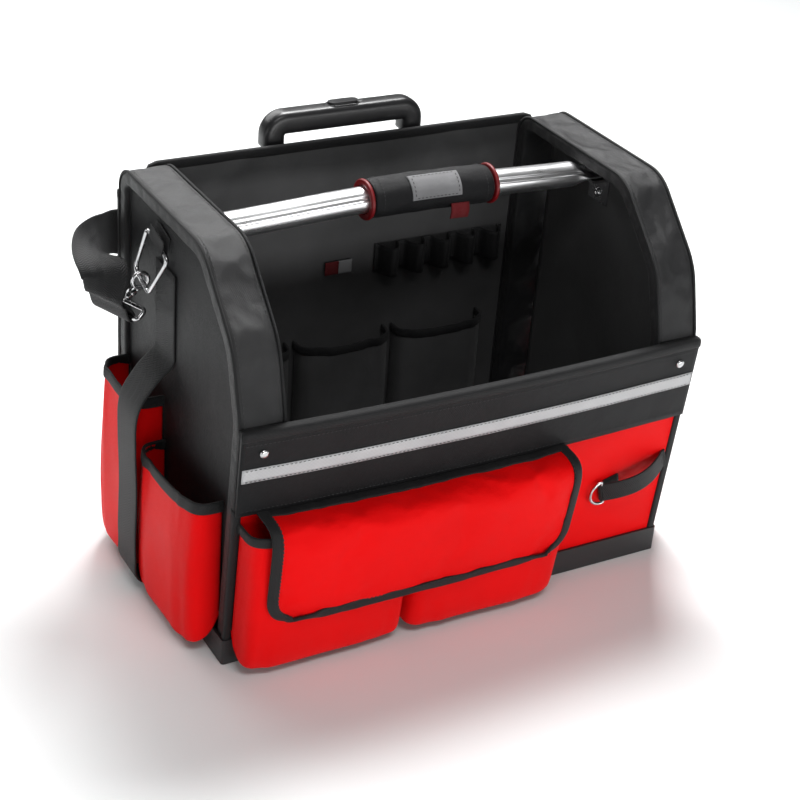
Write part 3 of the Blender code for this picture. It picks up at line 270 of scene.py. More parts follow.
def make_object(name, points, faces, material, uv=None):
    """An object from points and faces; uv gives a place on the cloth for each corner of each face."""
    mesh = bpy.data.meshes.new(name)
    mesh.from_pydata([tuple(p) for p in points], [], [tuple(int(i) for i in face) for face in faces])
    if uv is not None:
        mesh.uv_layers.new(name="cloth").data.foreach_set("uv", np.asarray(uv, np.float32).ravel())
    mesh.polygons.foreach_set("use_smooth", [True] * len(mesh.polygons))
    mesh.materials.append(material)
    made = bpy.data.objects.new(name, mesh)
    bpy.context.scene.collection.objects.link(made)
    return made


def ride(made, body="bag", slot=None):
    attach(made, body)
    return made


class Cloth:
    """A sheet as a grid of points, so that its edges and surface can be read again after it has settled.
    A wrapped sheet closes on itself along u."""

    def __init__(self, name, columns, rows, place, material, wrap=False):
        self.name, self.material, self.wrap, self.columns = name, material, wrap, columns
        us = [i / columns for i in range(columns if wrap else columns + 1)]
        self.co = np.array([[tuple(place(u, j / rows)) for u in us] for j in range(rows + 1)], float)
        self.rest = self.co.copy()
        self.pins = np.zeros(self.co.shape[:2])
        self.cells = [(j, i) for j in range(rows) for i in range(columns)]

    def mesh_object(self, name, uv=None):
        width = self.co.shape[1]
        faces = []
        for j, i in self.cells:
            low, high, k = j * width, (j + 1) * width, (i + 1) % width
            faces.append((low + i, low + k, high + k, high + i))
        return make_object(name, self.co.reshape(-1, 3), faces, self.material, uv)

    def corner_uv(self):
        ring = np.concatenate([self.rest, self.rest[:, :1]], axis=1) if self.wrap else self.rest
        wide = np.linalg.norm(np.diff(ring, axis=1), axis=2).max(axis=0)
        tall = np.linalg.norm(np.diff(self.rest, axis=0), axis=2).max(axis=1)
        us, vs = (np.concatenate([[0.0], np.cumsum(steps)]) for steps in (wide, tall))
        return [(us[i + a], vs[j + b]) for j, i in self.cells for a, b in ((0, 0), (1, 0), (1, 1), (0, 1))]

    def at(self, u, v, out=0.0):
        """The cloth's place at (u, v), lifted by out, and its normal there."""
        rows, width = self.co.shape[:2]
        x, y = u * self.columns, v * (rows - 1)
        i, j = int(x) if self.wrap else min(int(x), self.columns - 1), min(int(y), rows - 2)
        fx, fy = x - i, y - j
        i, k = i % width, (i + 1) % width
        a, b, c, d = self.co[j, i], self.co[j, k], self.co[j + 1, i], self.co[j + 1, k]
        point = Vector(a * (1 - fx) * (1 - fy) + b * fx * (1 - fy) + c * (1 - fx) * fy + d * fx * fy)
        du = (b - a) * (1 - fy) + (d - c) * fy
        dv = (c - a) * (1 - fx) + (d - b) * fx
        normal = Vector(np.cross(du, dv))
        normal = normal.normalized() if normal.length > 1e-12 else Vector((0, 0, 1))
        return point + normal * out, normal

    def build(self, thickness=0.0, levels=0, slot=None):
        made = self.mesh_object(self.name, self.corner_uv())
        if thickness:
            modifier = made.modifiers.new("thickness", "SOLIDIFY")
            modifier.thickness = thickness
            modifier.offset = -1.0
        if levels:
            modifier = made.modifiers.new("smooth", "SUBSURF")
            modifier.levels = modifier.render_levels = levels
        return ride(made, "bag", slot)


def settle(jobs, frames=22):
    """Lets the sheets settle together. A job is (cloth, pressure, spare cloth, most that a point moves,
    stiffness). Its pinned points stay, and the spare cloth makes it crease."""
    scene = bpy.context.scene
    made = []
    for cloth, pressure, spare, cap, stiffness in jobs:
        thing = cloth.mesh_object(cloth.name + "_settling")
        group = thing.vertex_groups.new(name="pins")
        for index, weight in enumerate(cloth.pins.ravel()):
            if weight > 0:
                group.add([index], float(weight), "REPLACE")
        modifier = thing.modifiers.new("cloth", "CLOTH")
        settings = modifier.settings
        settings.quality = 6
        settings.mass = 0.25
        settings.tension_stiffness = stiffness
        settings.compression_stiffness = stiffness
        settings.shear_stiffness = stiffness * 0.4
        settings.bending_stiffness = 0.35
        settings.air_damping = 3.0
        settings.vertex_group_mass = "pins"
        settings.shrink_min = -spare
        settings.use_pressure = True
        settings.uniform_pressure_force = pressure
        settings.effector_weights.gravity = 0.0
        modifier.collision_settings.use_collision = False
        modifier.collision_settings.use_self_collision = False
        made.append((cloth, thing, cap))
    for step in range(1, frames + 1):
        scene.frame_set(step)
    graph = bpy.context.evaluated_depsgraph_get()
    for cloth, thing, cap in made:
        mesh = thing.evaluated_get(graph).to_mesh()
        moved = np.zeros(len(mesh.vertices) * 3)
        mesh.vertices.foreach_get("co", moved)
        step = moved.reshape(cloth.co.shape) - cloth.co
        length = np.linalg.norm(step, axis=2, keepdims=True)
        cloth.co = cloth.co + step * (cap * np.tanh(length / cap) / np.maximum(length, 1e-9))
        thing.evaluated_get(graph).to_mesh_clear()
        bpy.data.objects.remove(thing)
    scene.frame_set(1)


def direction(points, i, closed=False):
    """The way that a line runs at one of its points."""
    ahead = points[(i + 1) % len(points)] if closed or i < len(points) - 1 else points[i]
    behind = points[i - 1] if closed or i > 0 else points[i]
    return (ahead - behind).normalized()


def lengths_along(points):
    lengths = [0.0]
    for a, b in zip(points, points[1:]):
        lengths.append(lengths[-1] + (b - a).length)
    return lengths


def piece_at(lengths, at):
    """Which piece of a line a length along it falls on, and the share of that piece before it."""
    i = min(max(bisect_left(lengths, at), 1), len(lengths) - 1) - 1
    return i, (at - lengths[i]) / max(lengths[i + 1] - lengths[i], 1e-9)


def even_line(points, step, closed=False):
    """The same line with a point every step."""
    points = [Vector(p) for p in points]
    if closed:
        points.append(points[0])
    lengths = lengths_along(points)
    count = max(2, round(lengths[-1] / step))
    found = []
    for k in range(count if closed else count + 1):
        i, share = piece_at(lengths, lengths[-1] * k / count)
        found.append(points[i].lerp(points[i + 1], min(share, 1.0)))
    return found


def rounded_line(corners, turn=radians(6)):
    """Points of a plane line with its corners rounded: corners are (first, second, radius)."""
    line = []
    for i, (first, second, radius) in enumerate(corners):
        here = Vector((first, second))
        if radius <= 0:
            line.append(here)
            continue
        before, after = ((Vector(corners[k][:2]) - here).normalized() for k in (i - 1, i + 1))
        half = before.angle(after) / 2
        reach = radius / np.tan(half)
        centre = here + (before + after).normalized() * (radius / sin(half))
        start, stop = here + before * reach - centre, here + after * reach - centre
        arc = (pi - 2 * half) * (1 if start.x * stop.y - start.y * stop.x > 0 else -1)
        steps = max(2, ceil(abs(arc) / turn))
        for k in range(steps + 1):
            c, s = cos(arc * k / steps), sin(arc * k / steps)
            line.append(centre + Vector((start.x * c - start.y * s, start.x * s + start.y * c)))
    return line


def smooth_path(points, steps):
    """A smooth curve through the points, with a number of steps between each two."""
    points = [Vector(p) for p in points]
    ends = [points[0] * 2 - points[1], *points, points[-1] * 2 - points[-2]]
    path = []
    for a, b, c, d in zip(ends, ends[1:], ends[2:], ends[3:]):
        for t in (step / steps for step in range(steps)):
            bend = (2 * a - 5 * b + 4 * c - d) * t ** 2 + (3 * b - a - 3 * c + d) * t ** 3
            path.append(0.5 * (2 * b + (c - a) * t + bend))
    return [*path, points[-1]]


def sweep(name, line, profile, material, ups=None, closed=False):
    """A profile of (across, up) points, carried along a line. ups gives the up direction at each point."""
    points = [Vector(p) for p in line]
    count, width = len(points), len(profile)
    skin, faces, uv = [], [], []
    for i, point in enumerate(points):
        run = direction(points, i, closed)
        up = Vector(ups[i]) if ups else Vector((0, 0, 1))
        up = up - run * up.dot(run)
        up = up.normalized() if up.length > 1e-6 else run.orthogonal().normalized()
        side = run.cross(up)
        skin += [point + side * a + up * b for a, b in profile]
    rows = lengths_along(points + points[:1])
    around = lengths_along([Vector(p) for p in (*profile, profile[0])])
    for j in range(count if closed else count - 1):
        low, high = j * width, (j + 1) % count * width
        for k in range(width):
            m = (k + 1) % width
            faces.append((low + k, high + k, high + m, low + m))
            uv += [(around[k + a], rows[j + b]) for a, b in ((0, 0), (0, 1), (1, 1), (1, 0))]
    if not closed:
        faces += [tuple(range(width)), tuple((count - 1) * width + k for k in reversed(range(width)))]
        uv += [*profile, *reversed(profile)]
    return make_object(name, skin, faces, material, uv)


def oval(half_width, half_height, sides=10, power=1.0):
    """An ellipse's outline, or a rounded rectangle's where the power is below 1."""
    turns = [(cos(-2 * pi * k / sides), sin(-2 * pi * k / sides)) for k in range(sides)]
    return [(half_width * copysign(abs(c) ** power, c), half_height * copysign(abs(s) ** power, s))
            for c, s in turns]


def round_wire(name, points, radius, material, closed=False, sides=10, step=0.004):
    """A round bar along a line. Its up direction is carried along, so that it never turns over."""
    line = even_line(points, step, closed)
    ups = []
    for i in range(len(line)):
        run = direction(line, i, closed)
        up = run.orthogonal() if not ups else ups[-1] - run * ups[-1].dot(run)
        ups.append(up.normalized())
    return sweep(name, line, oval(radius, radius, sides), material, ups, closed)


def joined(name, pieces):
    """Several meshes made into one."""
    points, faces = [], []
    for piece in pieces:
        first = len(points)
        points += [v.co.copy() for v in piece.data.vertices]
        faces += [[first + i for i in face.vertices] for face in piece.data.polygons]
        material = piece.data.materials[0]
        bpy.data.objects.remove(piece)
    return make_object(name, points, faces, material)


def spun(name, rows, place, material, steps, body="bag", slot="plated_steel", shape=None, ring=False):
    """A solid of revolution about its own Z axis. rows are the (radius, height) points of its section, which
    is closed for a ring and otherwise starts and ends on the axis. shape changes them at a turn."""
    points, faces, width = [], [], len(rows)
    for k in range(steps):
        t = 2 * pi * k / steps
        for r, h in rows:
            if shape:
                r, h = shape(t, r, h)
            points.append(place @ Vector((r * cos(t), r * sin(t), h)))
        here, after = k * width, (k + 1) % steps * width
        for i in range(width if ring else width - 1):
            m = (i + 1) % width
            faces.append((here + i, after + i, after + m, here + m))
    return ride(make_object(name, points, faces, material), body, slot)


def facing(place, way):
    return Matrix.Translation(place) @ Vector(way).to_track_quat("Z", "Y").to_matrix().to_4x4()


def stitches(name, lines, material=THREAD, pitch=0.0046, length=0.0032, radius=0.00042):
    """Short raised threads along each line, a list of (point, normal)."""
    points, faces = [], []
    for line in lines:
        lengths = lengths_along([p for p, _ in line])
        start = pitch * 0.4
        while start + length < lengths[-1]:
            ends = []
            for i, share in (piece_at(lengths, start), piece_at(lengths, start + length)):
                ends += [line[i][0].lerp(line[i + 1][0], share), line[i][1].lerp(line[i + 1][1], share)]
            a, na, b, nb = ends
            up = ((na + nb) / 2).normalized()
            side = (b - a).normalized().cross(up)
            n = len(points)
            points += [a - up * radius * 0.6, b - up * radius * 0.6]
            for share in (0.25, 0.75):
                middle = a.lerp(b, share) + up * radius * 0.5
                points += [middle + side * radius, middle + up * radius * 0.7, middle - side * radius]
            faces += [(n, n + 2, n + 3), (n, n + 3, n + 4), (n + 2, n + 5, n + 6, n + 3),
                      (n + 3, n + 6, n + 7, n + 4), (n + 5, n + 1, n + 6), (n + 6, n + 1, n + 7)]
            start += pitch
    return ride(make_object(name, points, faces, material))


def seam(cloth, u0, v0, u1, v1, out=0.0004, count=60):
    """A line over a cloth from one place to another, with its normals."""
    return [cloth.at(u0 + (u1 - u0) * k / count, v0 + (v1 - v0) * k / count, out) for k in range(count + 1)]


def edge_tape(name, spots, inward, width, fold):
    """Tape folded over a cloth's edge. spots are the edge's points and normals, and inward the ways from them
    into the cloth."""
    points = [p + i * (width * 0.5 - 0.0012) for (p, _), i in zip(spots, inward)]
    made = sweep(name, points, oval(width / 2, fold, 12, 0.55), BINDING, [n for _, n in spots])
    return ride(made, "bag", "black_fabric")


def row_tape(cloth, name, v, deeper, steps, width, fold=0.0019):
    """Tape along one row of a cloth. deeper is a row further into the cloth."""
    spots = [cloth.at(k / steps, v) for k in range(steps + 1)]
    inward = [(cloth.at(k / steps, deeper)[0] - spots[k][0]).normalized() for k in range(steps + 1)]
    return edge_tape(name, spots, inward, width, fold)


def webbing(name, centres, widths, width, thickness=WEB_THICK):
    """A flat strap along a line, with stitches along both edges of its two faces. widths gives the way across
    it at each point."""
    frames = []
    for i in range(len(centres)):
        run, across = direction(centres, i), Vector(widths[i])
        across = (across - run * across.dot(run)).normalized()
        frames.append((across, across.cross(run)))
    made = sweep(name, centres, oval(width / 2, thickness / 2, 20, 0.32), TAPE, [up for _, up in frames])
    rows = []
    for edge in (-1, 1):
        for face in (-1, 1):
            aside, lift = edge * (width / 2 - 0.0032), face * (thickness / 2 + 0.0001)
            rows.append([(centre + across * aside + up * lift, up * face)
                         for centre, (across, up) in zip(centres, frames)])
    stitches(name + "_stitches", rows, radius=0.0003)
    return ride(made, "bag", "webbing")


def box_stitches(name, middle, across, along_way, out, wide, tall):
    """A sewn square with a cross in it."""
    a, b = across * wide / 2, along_way * tall / 2
    corners = [middle - a - b, middle + a - b, middle + a + b, middle - a + b]
    sides_and_cross = ((0, 1), (1, 2), (2, 3), (3, 0), (0, 2), (1, 3))
    rows = [even_line([corners[i], corners[j]], 0.002) for i, j in sides_and_cross]
    return stitches(name, [[(p, out) for p in row] for row in rows], radius=0.0004)


def declare(made, cloth):
    """Measures a sheet's flat width and height over the cloth, and does nothing more with them."""
    co = cloth.co
    wide, tall = (float(np.linalg.norm(np.diff(co, axis=way), axis=2).sum(axis=way).max()) for way in (1, 0))


# Camera, floor and light

AZIMUTH, ELEVATION, ROLL, DISTANCE = radians(-31.335), radians(29.597), radians(4.872), 1.998
AIM = Vector((0.005, 0.0, 0.175))
back = Vector((sin(AZIMUTH) * cos(ELEVATION), -cos(AZIMUTH) * cos(ELEVATION), sin(ELEVATION)))
level = Vector((cos(AZIMUTH), sin(AZIMUTH), 0.0))
upright = back.cross(level)
turned_axes = (level * cos(ROLL) + upright * sin(ROLL), upright * cos(ROLL) - level * sin(ROLL), back)
camera = bpy.data.objects.new("camera", bpy.data.cameras.new("camera"))
bpy.context.scene.collection.objects.link(camera)
camera.matrix_world = Matrix.Translation(AIM + back * DISTANCE) @ Matrix(turned_axes).transposed().to_4x4()
camera.data.lens = 80.93
camera.data.sensor_width = 36.0
camera.data.clip_end = 50.0
bpy.context.scene.camera = camera

for name, place, target, size, power in (
        ("key", (0.62, 0.95, 2.25), (0.0, 0.0, 0.1), (0.9, 0.7), 76.0),
        ("backdrop_light", (-0.8, 4.4, 2.8), (-1.2, 3.4, 0.0), (4.5, 2.5), 190.0),
        ("top_front", (-0.3, -1.3, 2.1), (0.0, 0.0, 0.2), (1.2, 0.6), 15.0),
        ("front_fill", (0.5, -2.8, 0.32), (0.0, 0.0, 0.22), (2.4, 0.4), 30.0),
        ("left_fill", (-2.5, -0.5, 0.6), (0.0, 0.0, 0.2), (1.0, 0.6), 7.0)):
    lamp = bpy.data.lights.new(name, "AREA")
    lamp.shape = "RECTANGLE"
    lamp.size, lamp.size_y = size
    lamp.energy = power
    holder = bpy.data.objects.new(name, lamp)
    bpy.context.scene.collection.objects.link(holder)
    holder.location = place
    holder.rotation_mode = "QUATERNION"
    holder.rotation_quaternion = (Vector(place) - Vector(target)).to_track_quat("Z", "Y")
world = bpy.data.worlds.new("studio")
world.use_nodes = True
world.node_tree.nodes["Background"].inputs[0].default_value = (1.0, 1.0, 1.0, 1.0)
world.node_tree.nodes["Background"].inputs[1].default_value = 0.11
bpy.context.scene.world = world
bpy.context.scene.view_settings.view_transform = "Standard"

pale = Finish("studio_floor", Roughness=0.85)
pale.set("Base Color", pale.mix(pale.noise(3.0), (0.88, 0.90, 0.90), (0.91, 0.93, 0.93)))
floor_corners = [(x * 8, y * 8, -0.0006) for x, y in ((-1, -1), (1, -1), (1, 1), (-1, 1))]
make_object("studio_floor", floor_corners, [(0, 1, 2, 3)], pale.material)

# Rigid parts that are shown as they are in the frame
for material, names in (
        (PLASTIC, ("base_tray", "trolley_guide", "trolley_chassis", "wheel_housing_left",
                   "wheel_housing_right")),
        (SATIN, ("grip_button",)),
        (TUBE, [part + label for part in ("outer_tube_", "mid_tube_", "inner_tube_") for label, _ in SIDES]),
        (STEEL, ("axle_left", "axle_right", "crossbar_bracket_left", "crossbar_bracket_right"))):
    for name in names:
        nodes[name].data.materials.clear()
        nodes[name].data.materials.append(material)

# Hoops: padded bands that frame the two ends
FRONT_INNER = WALL * sqrt(1 + SLOPE ** 2) + GAP
HOOP_CORNERS = [
    (BACK_INSIDE - GAP, FLOOR, 0.0),
    (BACK_INSIDE - GAP, HOOP_TOP, 0.026),
    (-0.46 * HALF_DEPTH, HOOP_TOP, 0.050),
    (-0.975 * HALF_DEPTH, (FRONT_TOP + HOOP_TOP) / 2, 0.070),
    (front_y(FRONT_TOP) + FRONT_INNER, FRONT_TOP, 0.060),
    (front_y(FLOOR) + FRONT_INNER, FLOOR, 0.0),
]
HOOP_SECTION = [(-0.5 + share, 0.0) for share in np.linspace(0.0, 1.0, 15)]
HOOP_SECTION += [(0.5, -share) for share in np.linspace(0.0, 1.0, 5)[1:]]
HOOP_SECTION += [(0.5 - share, -1.0) for share in np.linspace(0.0, 1.0, 13)[1:]]
HOOP_SECTION += [(-0.5, -1.0 + share) for share in np.linspace(0.0, 1.0, 5)[1:-1]]
hoop_line = even_line([(0.0, p.x, p.y) for p in rounded_line(HOOP_CORNERS)], 0.006)
hoop_out = [Vector((0.0, run.z, -run.y)) for run in (direction(hoop_line, i) for i in range(len(hoop_line)))]
hoops = []
for label, side in SIDES:
    middle = side * (HALF_LENGTH - HOOP_WIDTH / 2)

    def hoop_place(u, v, middle=middle, side=side):
        k = round(u * len(HOOP_SECTION)) % len(HOOP_SECTION)
        j = round(v * (len(hoop_line) - 1))
        across, deep = HOOP_SECTION[k]
        edge = max(0.0, abs(across) * 2 - 0.86) / 0.14
        inner = 0.0016 * (1 - (abs(across) * 2) ** 4)
        if deep == 0.0:
            out, pinch = 0.0006 - 0.0016 * edge ** 2, 1.0 - 0.02 * edge
        else:
            out, pinch = deep * (HOOP_PAD - 0.001) - (inner if deep == -1.0 else 0.0), 1.0
        point = hoop_line[j] + hoop_out[j] * out
        point.x = middle + across * (HOOP_WIDTH - 0.0016) * pinch
        return point + hoop_out[j] * 0.0009 * rough_at((across * 0.6 + side, v * 7.0, deep), 3.0, 4.0)

    hoop = Cloth("hoop_cover_" + label, len(HOOP_SECTION), len(hoop_line) - 1, hoop_place, PADDED, wrap=True)
    for k, (across, deep) in enumerate(HOOP_SECTION):
        if abs(across) == 0.5 or (deep == 0.0 and abs(across) > 0.42):
            hoop.pins[:, k] = 1.0 if deep in (0.0, -1.0) else 0.35
    hoop.pins[0] = hoop.pins[-1] = 1.0
    hoops.append((label, side, hoop))

# Pockets. A row is (sag below the seam, rise to the mouth, share of the depth)
POCKET_ROWS = ((0.0, 0.0, 0.0), (0.70, 0.0, 0.45), (1.0, 0.0, 0.85), (0.72, 0.0, 0.97), (0.0, 0.04, 1.0),
               (0.0, 0.5, 0.97), (0.0, 1.0, 0.84))
POCKET_CREASE = 0.0026


def pocket(name, place, ends, heights, depth, material, roundness, columns, rows, seed):
    """heights are those of the bottom, of the lower seam and of the mouth at its two ends."""
    middle, half = (ends[0] + ends[1]) / 2, (ends[1] - ends[0]) / 2
    bottom, seam_z, top, top_end = heights

    def shape(u, v):
        turn = pi * (1 - u)
        x = copysign(abs(cos(turn)) ** roundness, cos(turn))
        full = abs(sin(turn)) ** roundness
        mouth = top + (top_end - top) * (x + 1) / 2
        along = v / 0.30 * 4 / 6 if v < 0.30 else (4 + (v - 0.30) / 0.70 * 2) / 6
        sag, rise, share = spline(POCKET_ROWS, along)
        z = seam_z - sag * (seam_z - bottom) * full ** 0.45 + rise * (mouth - seam_z)
        dip = 0.002 * ease(0.8, 1.0, v) * full * (0.5 + 0.5 * cos(pi * x))
        out = 2 * GAP + 0.0008 + min(share, 1.0) * (depth - 0.0012) * full
        folds = rough_at((x * 2.2, v * 1.1 + x * 0.5, seed), 1.6, seed)
        folds += 0.6 * rough_at((x * 5.0, v * 2.0, seed), 1.4, seed)
        gathers = sin(x * half * 190.0 + 3.0 * rough_at((x * 2.0, 0.0, seed), 1.2, seed))
        gathers *= ease(0.42, 0.20, v)
        out += (POCKET_CREASE * folds + 0.0009 * gathers) * full * ease(0.04, 0.2, v)
        return place(middle + half * x, z - dip, max(out, 2 * GAP))

    cloth = Cloth(name, columns, rows, shape, material)
    cloth.pins[0] = 1.0
    cloth.pins[:, 0] = cloth.pins[:, -1] = 1.0
    cloth.pins[-1] = np.maximum(cloth.pins[-1], 0.08)
    return cloth


front_pockets = [
    (label, pocket("front_pocket_cloth_" + label, on_front, ends, (0.009, 0.042, 0.178, 0.178), 0.044, RED,
                   0.32, 44, 34, seed))
    for label, ends, seed in (("left", (-0.264, -0.0805), 3.1), ("right", (-0.0755, 0.113), 7.7))
]
LEG = HALF_DEPTH - WALL - HOOP_PAD - 3 * GAP
side_pockets = []
for label, side in SIDES:
    def side_place(across, z, out, side=side):
        return on_side(side, across * side, z, out)

    for part, start, end, top, far in (("front", -LEG, 0.0235, 0.184, 0.171),
                                       ("rear", 0.0285, LEG, 0.222, 0.222)):
        ends, mouth = ((start, end), (top, far)) if side > 0 else ((-end, -start), (far, top))
        side_pockets.append((label, part, pocket(
            "side_pocket_cloth_{}_{}".format(label, part), side_place, ends, (0.010, 0.050, *mouth), 0.040,
            RED, 0.40, 36, 32, 5.0 + side + (2.0 if part == "rear" else 0.0))))
inner_pockets = [
    (label, pocket("inner_pocket_cloth_" + label, on_back_inside, (x - 0.058, x + 0.058),
                   (0.040, 0.055, 0.190, 0.190), 0.034, LINING, 0.55, 28, 24, 9.0 + x * 10))
    for label, x in (("left", -0.128), ("middle", 0.0), ("right", 0.128))
]

# Flap over the front pockets. A row is (fall, share of the way out)
FLAP_LEFT, FLAP_RIGHT, FLAP_BOTTOM, FLAP_CORNER = -0.247, 0.108, 0.072, 0.034
FLAP_TOP = BAND_BOTTOM - GAP
FLAP_ROWS = ((0.0, 0.06), (0.0, 0.34), (0.03, 0.80), (0.14, 1.0), (0.38, 1.03), (0.64, 1.02), (0.78, 1.01),
             (0.88, 1.0), (0.95, 1.0), (1.0, 1.0))


def flap_shape(u, v):
    fall, share = spline(FLAP_ROWS, 1 - v)
    z = FLAP_TOP - fall * (FLAP_TOP - FLAP_BOTTOM)
    corner = min(max(0.0, (FLAP_BOTTOM + FLAP_CORNER - z) / FLAP_CORNER), 1.0)
    inset = FLAP_CORNER * (1 - sqrt(1 - corner ** 2))
    middle, half = (FLAP_LEFT + FLAP_RIGHT) / 2, (FLAP_RIGHT - FLAP_LEFT) / 2
    x = (u - 0.5) * 2
    fold = rough_at((u * 2.4, v * 1.4 - u, 1.0), 1.7, 2.0) * 0.0022
    fold += rough_at((u * 6.0, v * 2.4, 1.0), 1.8, 5.0) * 0.0009
    lift = 0.0022 * sin(u * 9.0) * ease(0.25, 0.0, v)
    out = 0.0022 + share * 0.0449 - 0.0045 * abs(x) ** 10 + fold * ease(1.0, 0.72, v) + abs(lift) * 0.5
    return on_front(middle + x * (half - inset * 0.9), z + lift * 0.4, out)


flap = Cloth("front_flap_cloth", 76, 44, flap_shape, RED)
flap.pins[-2:] = flap.pins[:2] = 1.0
flap.pins[:, :2] = flap.pins[:, -2:] = 1.0

# Walls

def front_wall_place(u, v):
    x, z = (u - 0.5) * 2 * (HALF_LENGTH - 0.0014), FLOOR + v * (FRONT_TOP - 0.002 - FLOOR)
    free = ease(0.122, 0.14, x) * ease(0.266, 0.25, x) * ease(0.035, 0.06, z) * ease(0.20, 0.18, z)
    return on_front(x, z, -0.0002 + free * 0.0016 * rough_at((x * 12.0, z * 9.0, 4.0), 1.2, 2.5))


def back_top(x):
    """The back wall's top edge, which falls away behind the hoops' rounded corners."""
    return BACK_TOP - 0.026 * ease(0.230, 0.246, abs(x))


def lining_place(u, v):
    """The back wall's inner face, with slanting folds near the hoops."""
    x = (u - 0.5) * 2 * HALF_LENGTH
    z = FLOOR + v * (back_top(x) - 0.002 - FLOOR)
    inside = HALF_LENGTH - HOOP_WIDTH
    high = ease(0.305, 0.345, z) * ease(BACK_TOP, BACK_TOP - 0.02, z)
    ends = max(0.0, 1 - (inside - abs(x)) / 0.13)
    slant = sin((abs(x) * 0.8 + z * 1.1) * 70.0 + 0.8 * sin(z * 40.0))
    free = ease(inside + 0.004, inside - 0.010, abs(x))
    folds = max(0.0, slant) ** 1.4 * ends * 0.0075 * free
    waves = (0.5 + rough_at((x * 4.0, z * 2.2, 3.0), 2.0, 3.0)) * 0.0034 * free
    return (x, BACK_INSIDE + 0.0002 - high * (max(0.0, folds) + max(0.0, waves)), z)


def back_place(u, v):
    x = (0.5 - u) * 2 * HALF_LENGTH
    return (x, HALF_DEPTH, FLOOR + v * (back_top(x) - 0.002 - FLOOR))


front_wall = Cloth("front_wall_cloth", 60, 30, front_wall_place, RED)
lining = Cloth("back_lining", 110, 80, lining_place, LINING)
back_panel = Cloth("back_panel_cloth", 110, 40, back_place, BLACK)

inner_loop = [p - n * (HOOP_PAD + GAP) for p, n in zip(hoop_line, hoop_out)]
front_half = sorted([(p.z, p.y) for p in inner_loop if p.y < 0.0])
PANEL_TOP = HOOP_TOP - HOOP_PAD - GAP
PANEL_BACK = BACK_INSIDE - 2 * GAP - HOOP_PAD


def panel_front(z):
    """Where an end panel's front edge is at a height."""
    for (z0, y0), (z1, y1) in zip(front_half, front_half[1:]):
        if z0 <= z <= z1 and z1 > z0:
            return y0 + (y1 - y0) * (z - z0) / (z1 - z0)
    return front_half[0][1] if z < front_half[0][0] else front_half[-1][1]


panels = []
for label, side in SIDES:
    for face, inset, material in (("outside", 0.0, BLACK), ("inside", WALL, LINING)):
        def panel_place(u, v, side=side, inset=inset):
            z = FLOOR + (1 - (1 - v) ** 1.25) * (PANEL_TOP - 0.0004 - FLOOR)
            front = panel_front(z)
            y = front + (u if (side > 0) == (inset == 0.0) else 1 - u) * (PANEL_BACK - front)
            middle = ease(0.0, 0.2, u) * ease(1.0, 0.8, u) * ease(0.235, 0.27, z)
            middle *= ease(PANEL_TOP, PANEL_TOP - 0.03, z)
            push = max(0.0, middle * (0.5 + rough_at((y * 9.0, z * 6.0, side), 1.5, 6.0)) * 0.0022)
            return ((PANEL - inset) * side - side * push * (1.0 if inset else -0.15), y, z)

        cloth = Cloth("end_panel_{}_{}".format(face, label), 34, 46, panel_place, material)
        panels.append((label, face, cloth))

settle(
    [(cloth, 1.4, 0.035, 0.0055, 18.0) for _, cloth in front_pockets]
    + [(cloth, 1.2, 0.035, 0.0050, 18.0) for _, _, cloth in side_pockets]
    + [(cloth, 0.9, 0.03, 0.0040, 18.0) for _, cloth in inner_pockets]
    + [(flap, 0.5, 0.008, 0.0030, 22.0)]
    + [(hoop, 1.6, 0.012, 0.0022, 16.0) for _, _, hoop in hoops]
)

# Hoops' covers, piping and stitching
for label, side, hoop in hoops:
    made = hoop.build(levels=1, slot="black_fabric")
    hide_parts("hoop_" + label)
    for edge, across in (("outer", side), ("inner", -side)):
        middle = side * (HALF_LENGTH - HOOP_WIDTH / 2)
        x = middle + across * (HOOP_WIDTH / 2 - 0.0016)
        line = [Vector((x, p.y, p.z)) + n * 0.0004 for p, n in zip(hoop_line, hoop_out)]
        ride(round_wire("hoop_piping_{}_{}".format(edge, label), line, 0.0017, BINDING, sides=8, step=0.005),
             "bag", "black_fabric")
        x = middle + across * (HOOP_WIDTH / 2 - 0.0062)
        line = [(Vector((x, p.y, p.z)) + n * 0.0011, n) for p, n in zip(hoop_line, hoop_out)]
        stitches("hoop_stitches_{}_{}".format(edge, label), [line], pitch=0.0052, length=0.0036)

# Pockets, their bindings and stitching
for label, cloth in front_pockets:
    made = cloth.build(POCKET_CLOTH, 1, "red_fabric")
    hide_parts("front_pocket_" + label)
    trim = row_tape(cloth, "front_pocket_binding_" + label, 1.0, 0.93, 60, 0.011)
    sewn = stitches("front_pocket_stitches_" + label, [seam(cloth, 0.02, v, 0.98, v) for v in (0.955, 0.10)],
                    RED_THREAD)
    declare(made, cloth)
for label, part, cloth in side_pockets:
    made = cloth.build(POCKET_CLOTH, 1, "red_fabric")
    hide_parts("side_pocket_{}_{}".format(label, part))
    trim = row_tape(cloth, "side_pocket_binding_{}_{}".format(label, part), 1.0, 0.93, 60, 0.013)
    sewn = stitches("side_pocket_stitches_{}_{}".format(label, part), [seam(cloth, 0.02, 0.945, 0.98, 0.945)])
    declare(made, cloth)
for label, cloth in inner_pockets:
    made = cloth.build(PANEL_CLOTH, 1, "black_fabric")
    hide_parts("inner_pocket_" + label)
    trim = row_tape(cloth, "inner_pocket_binding_" + label, 1.0, 0.93, 60, 0.010)
    declare(made, cloth)
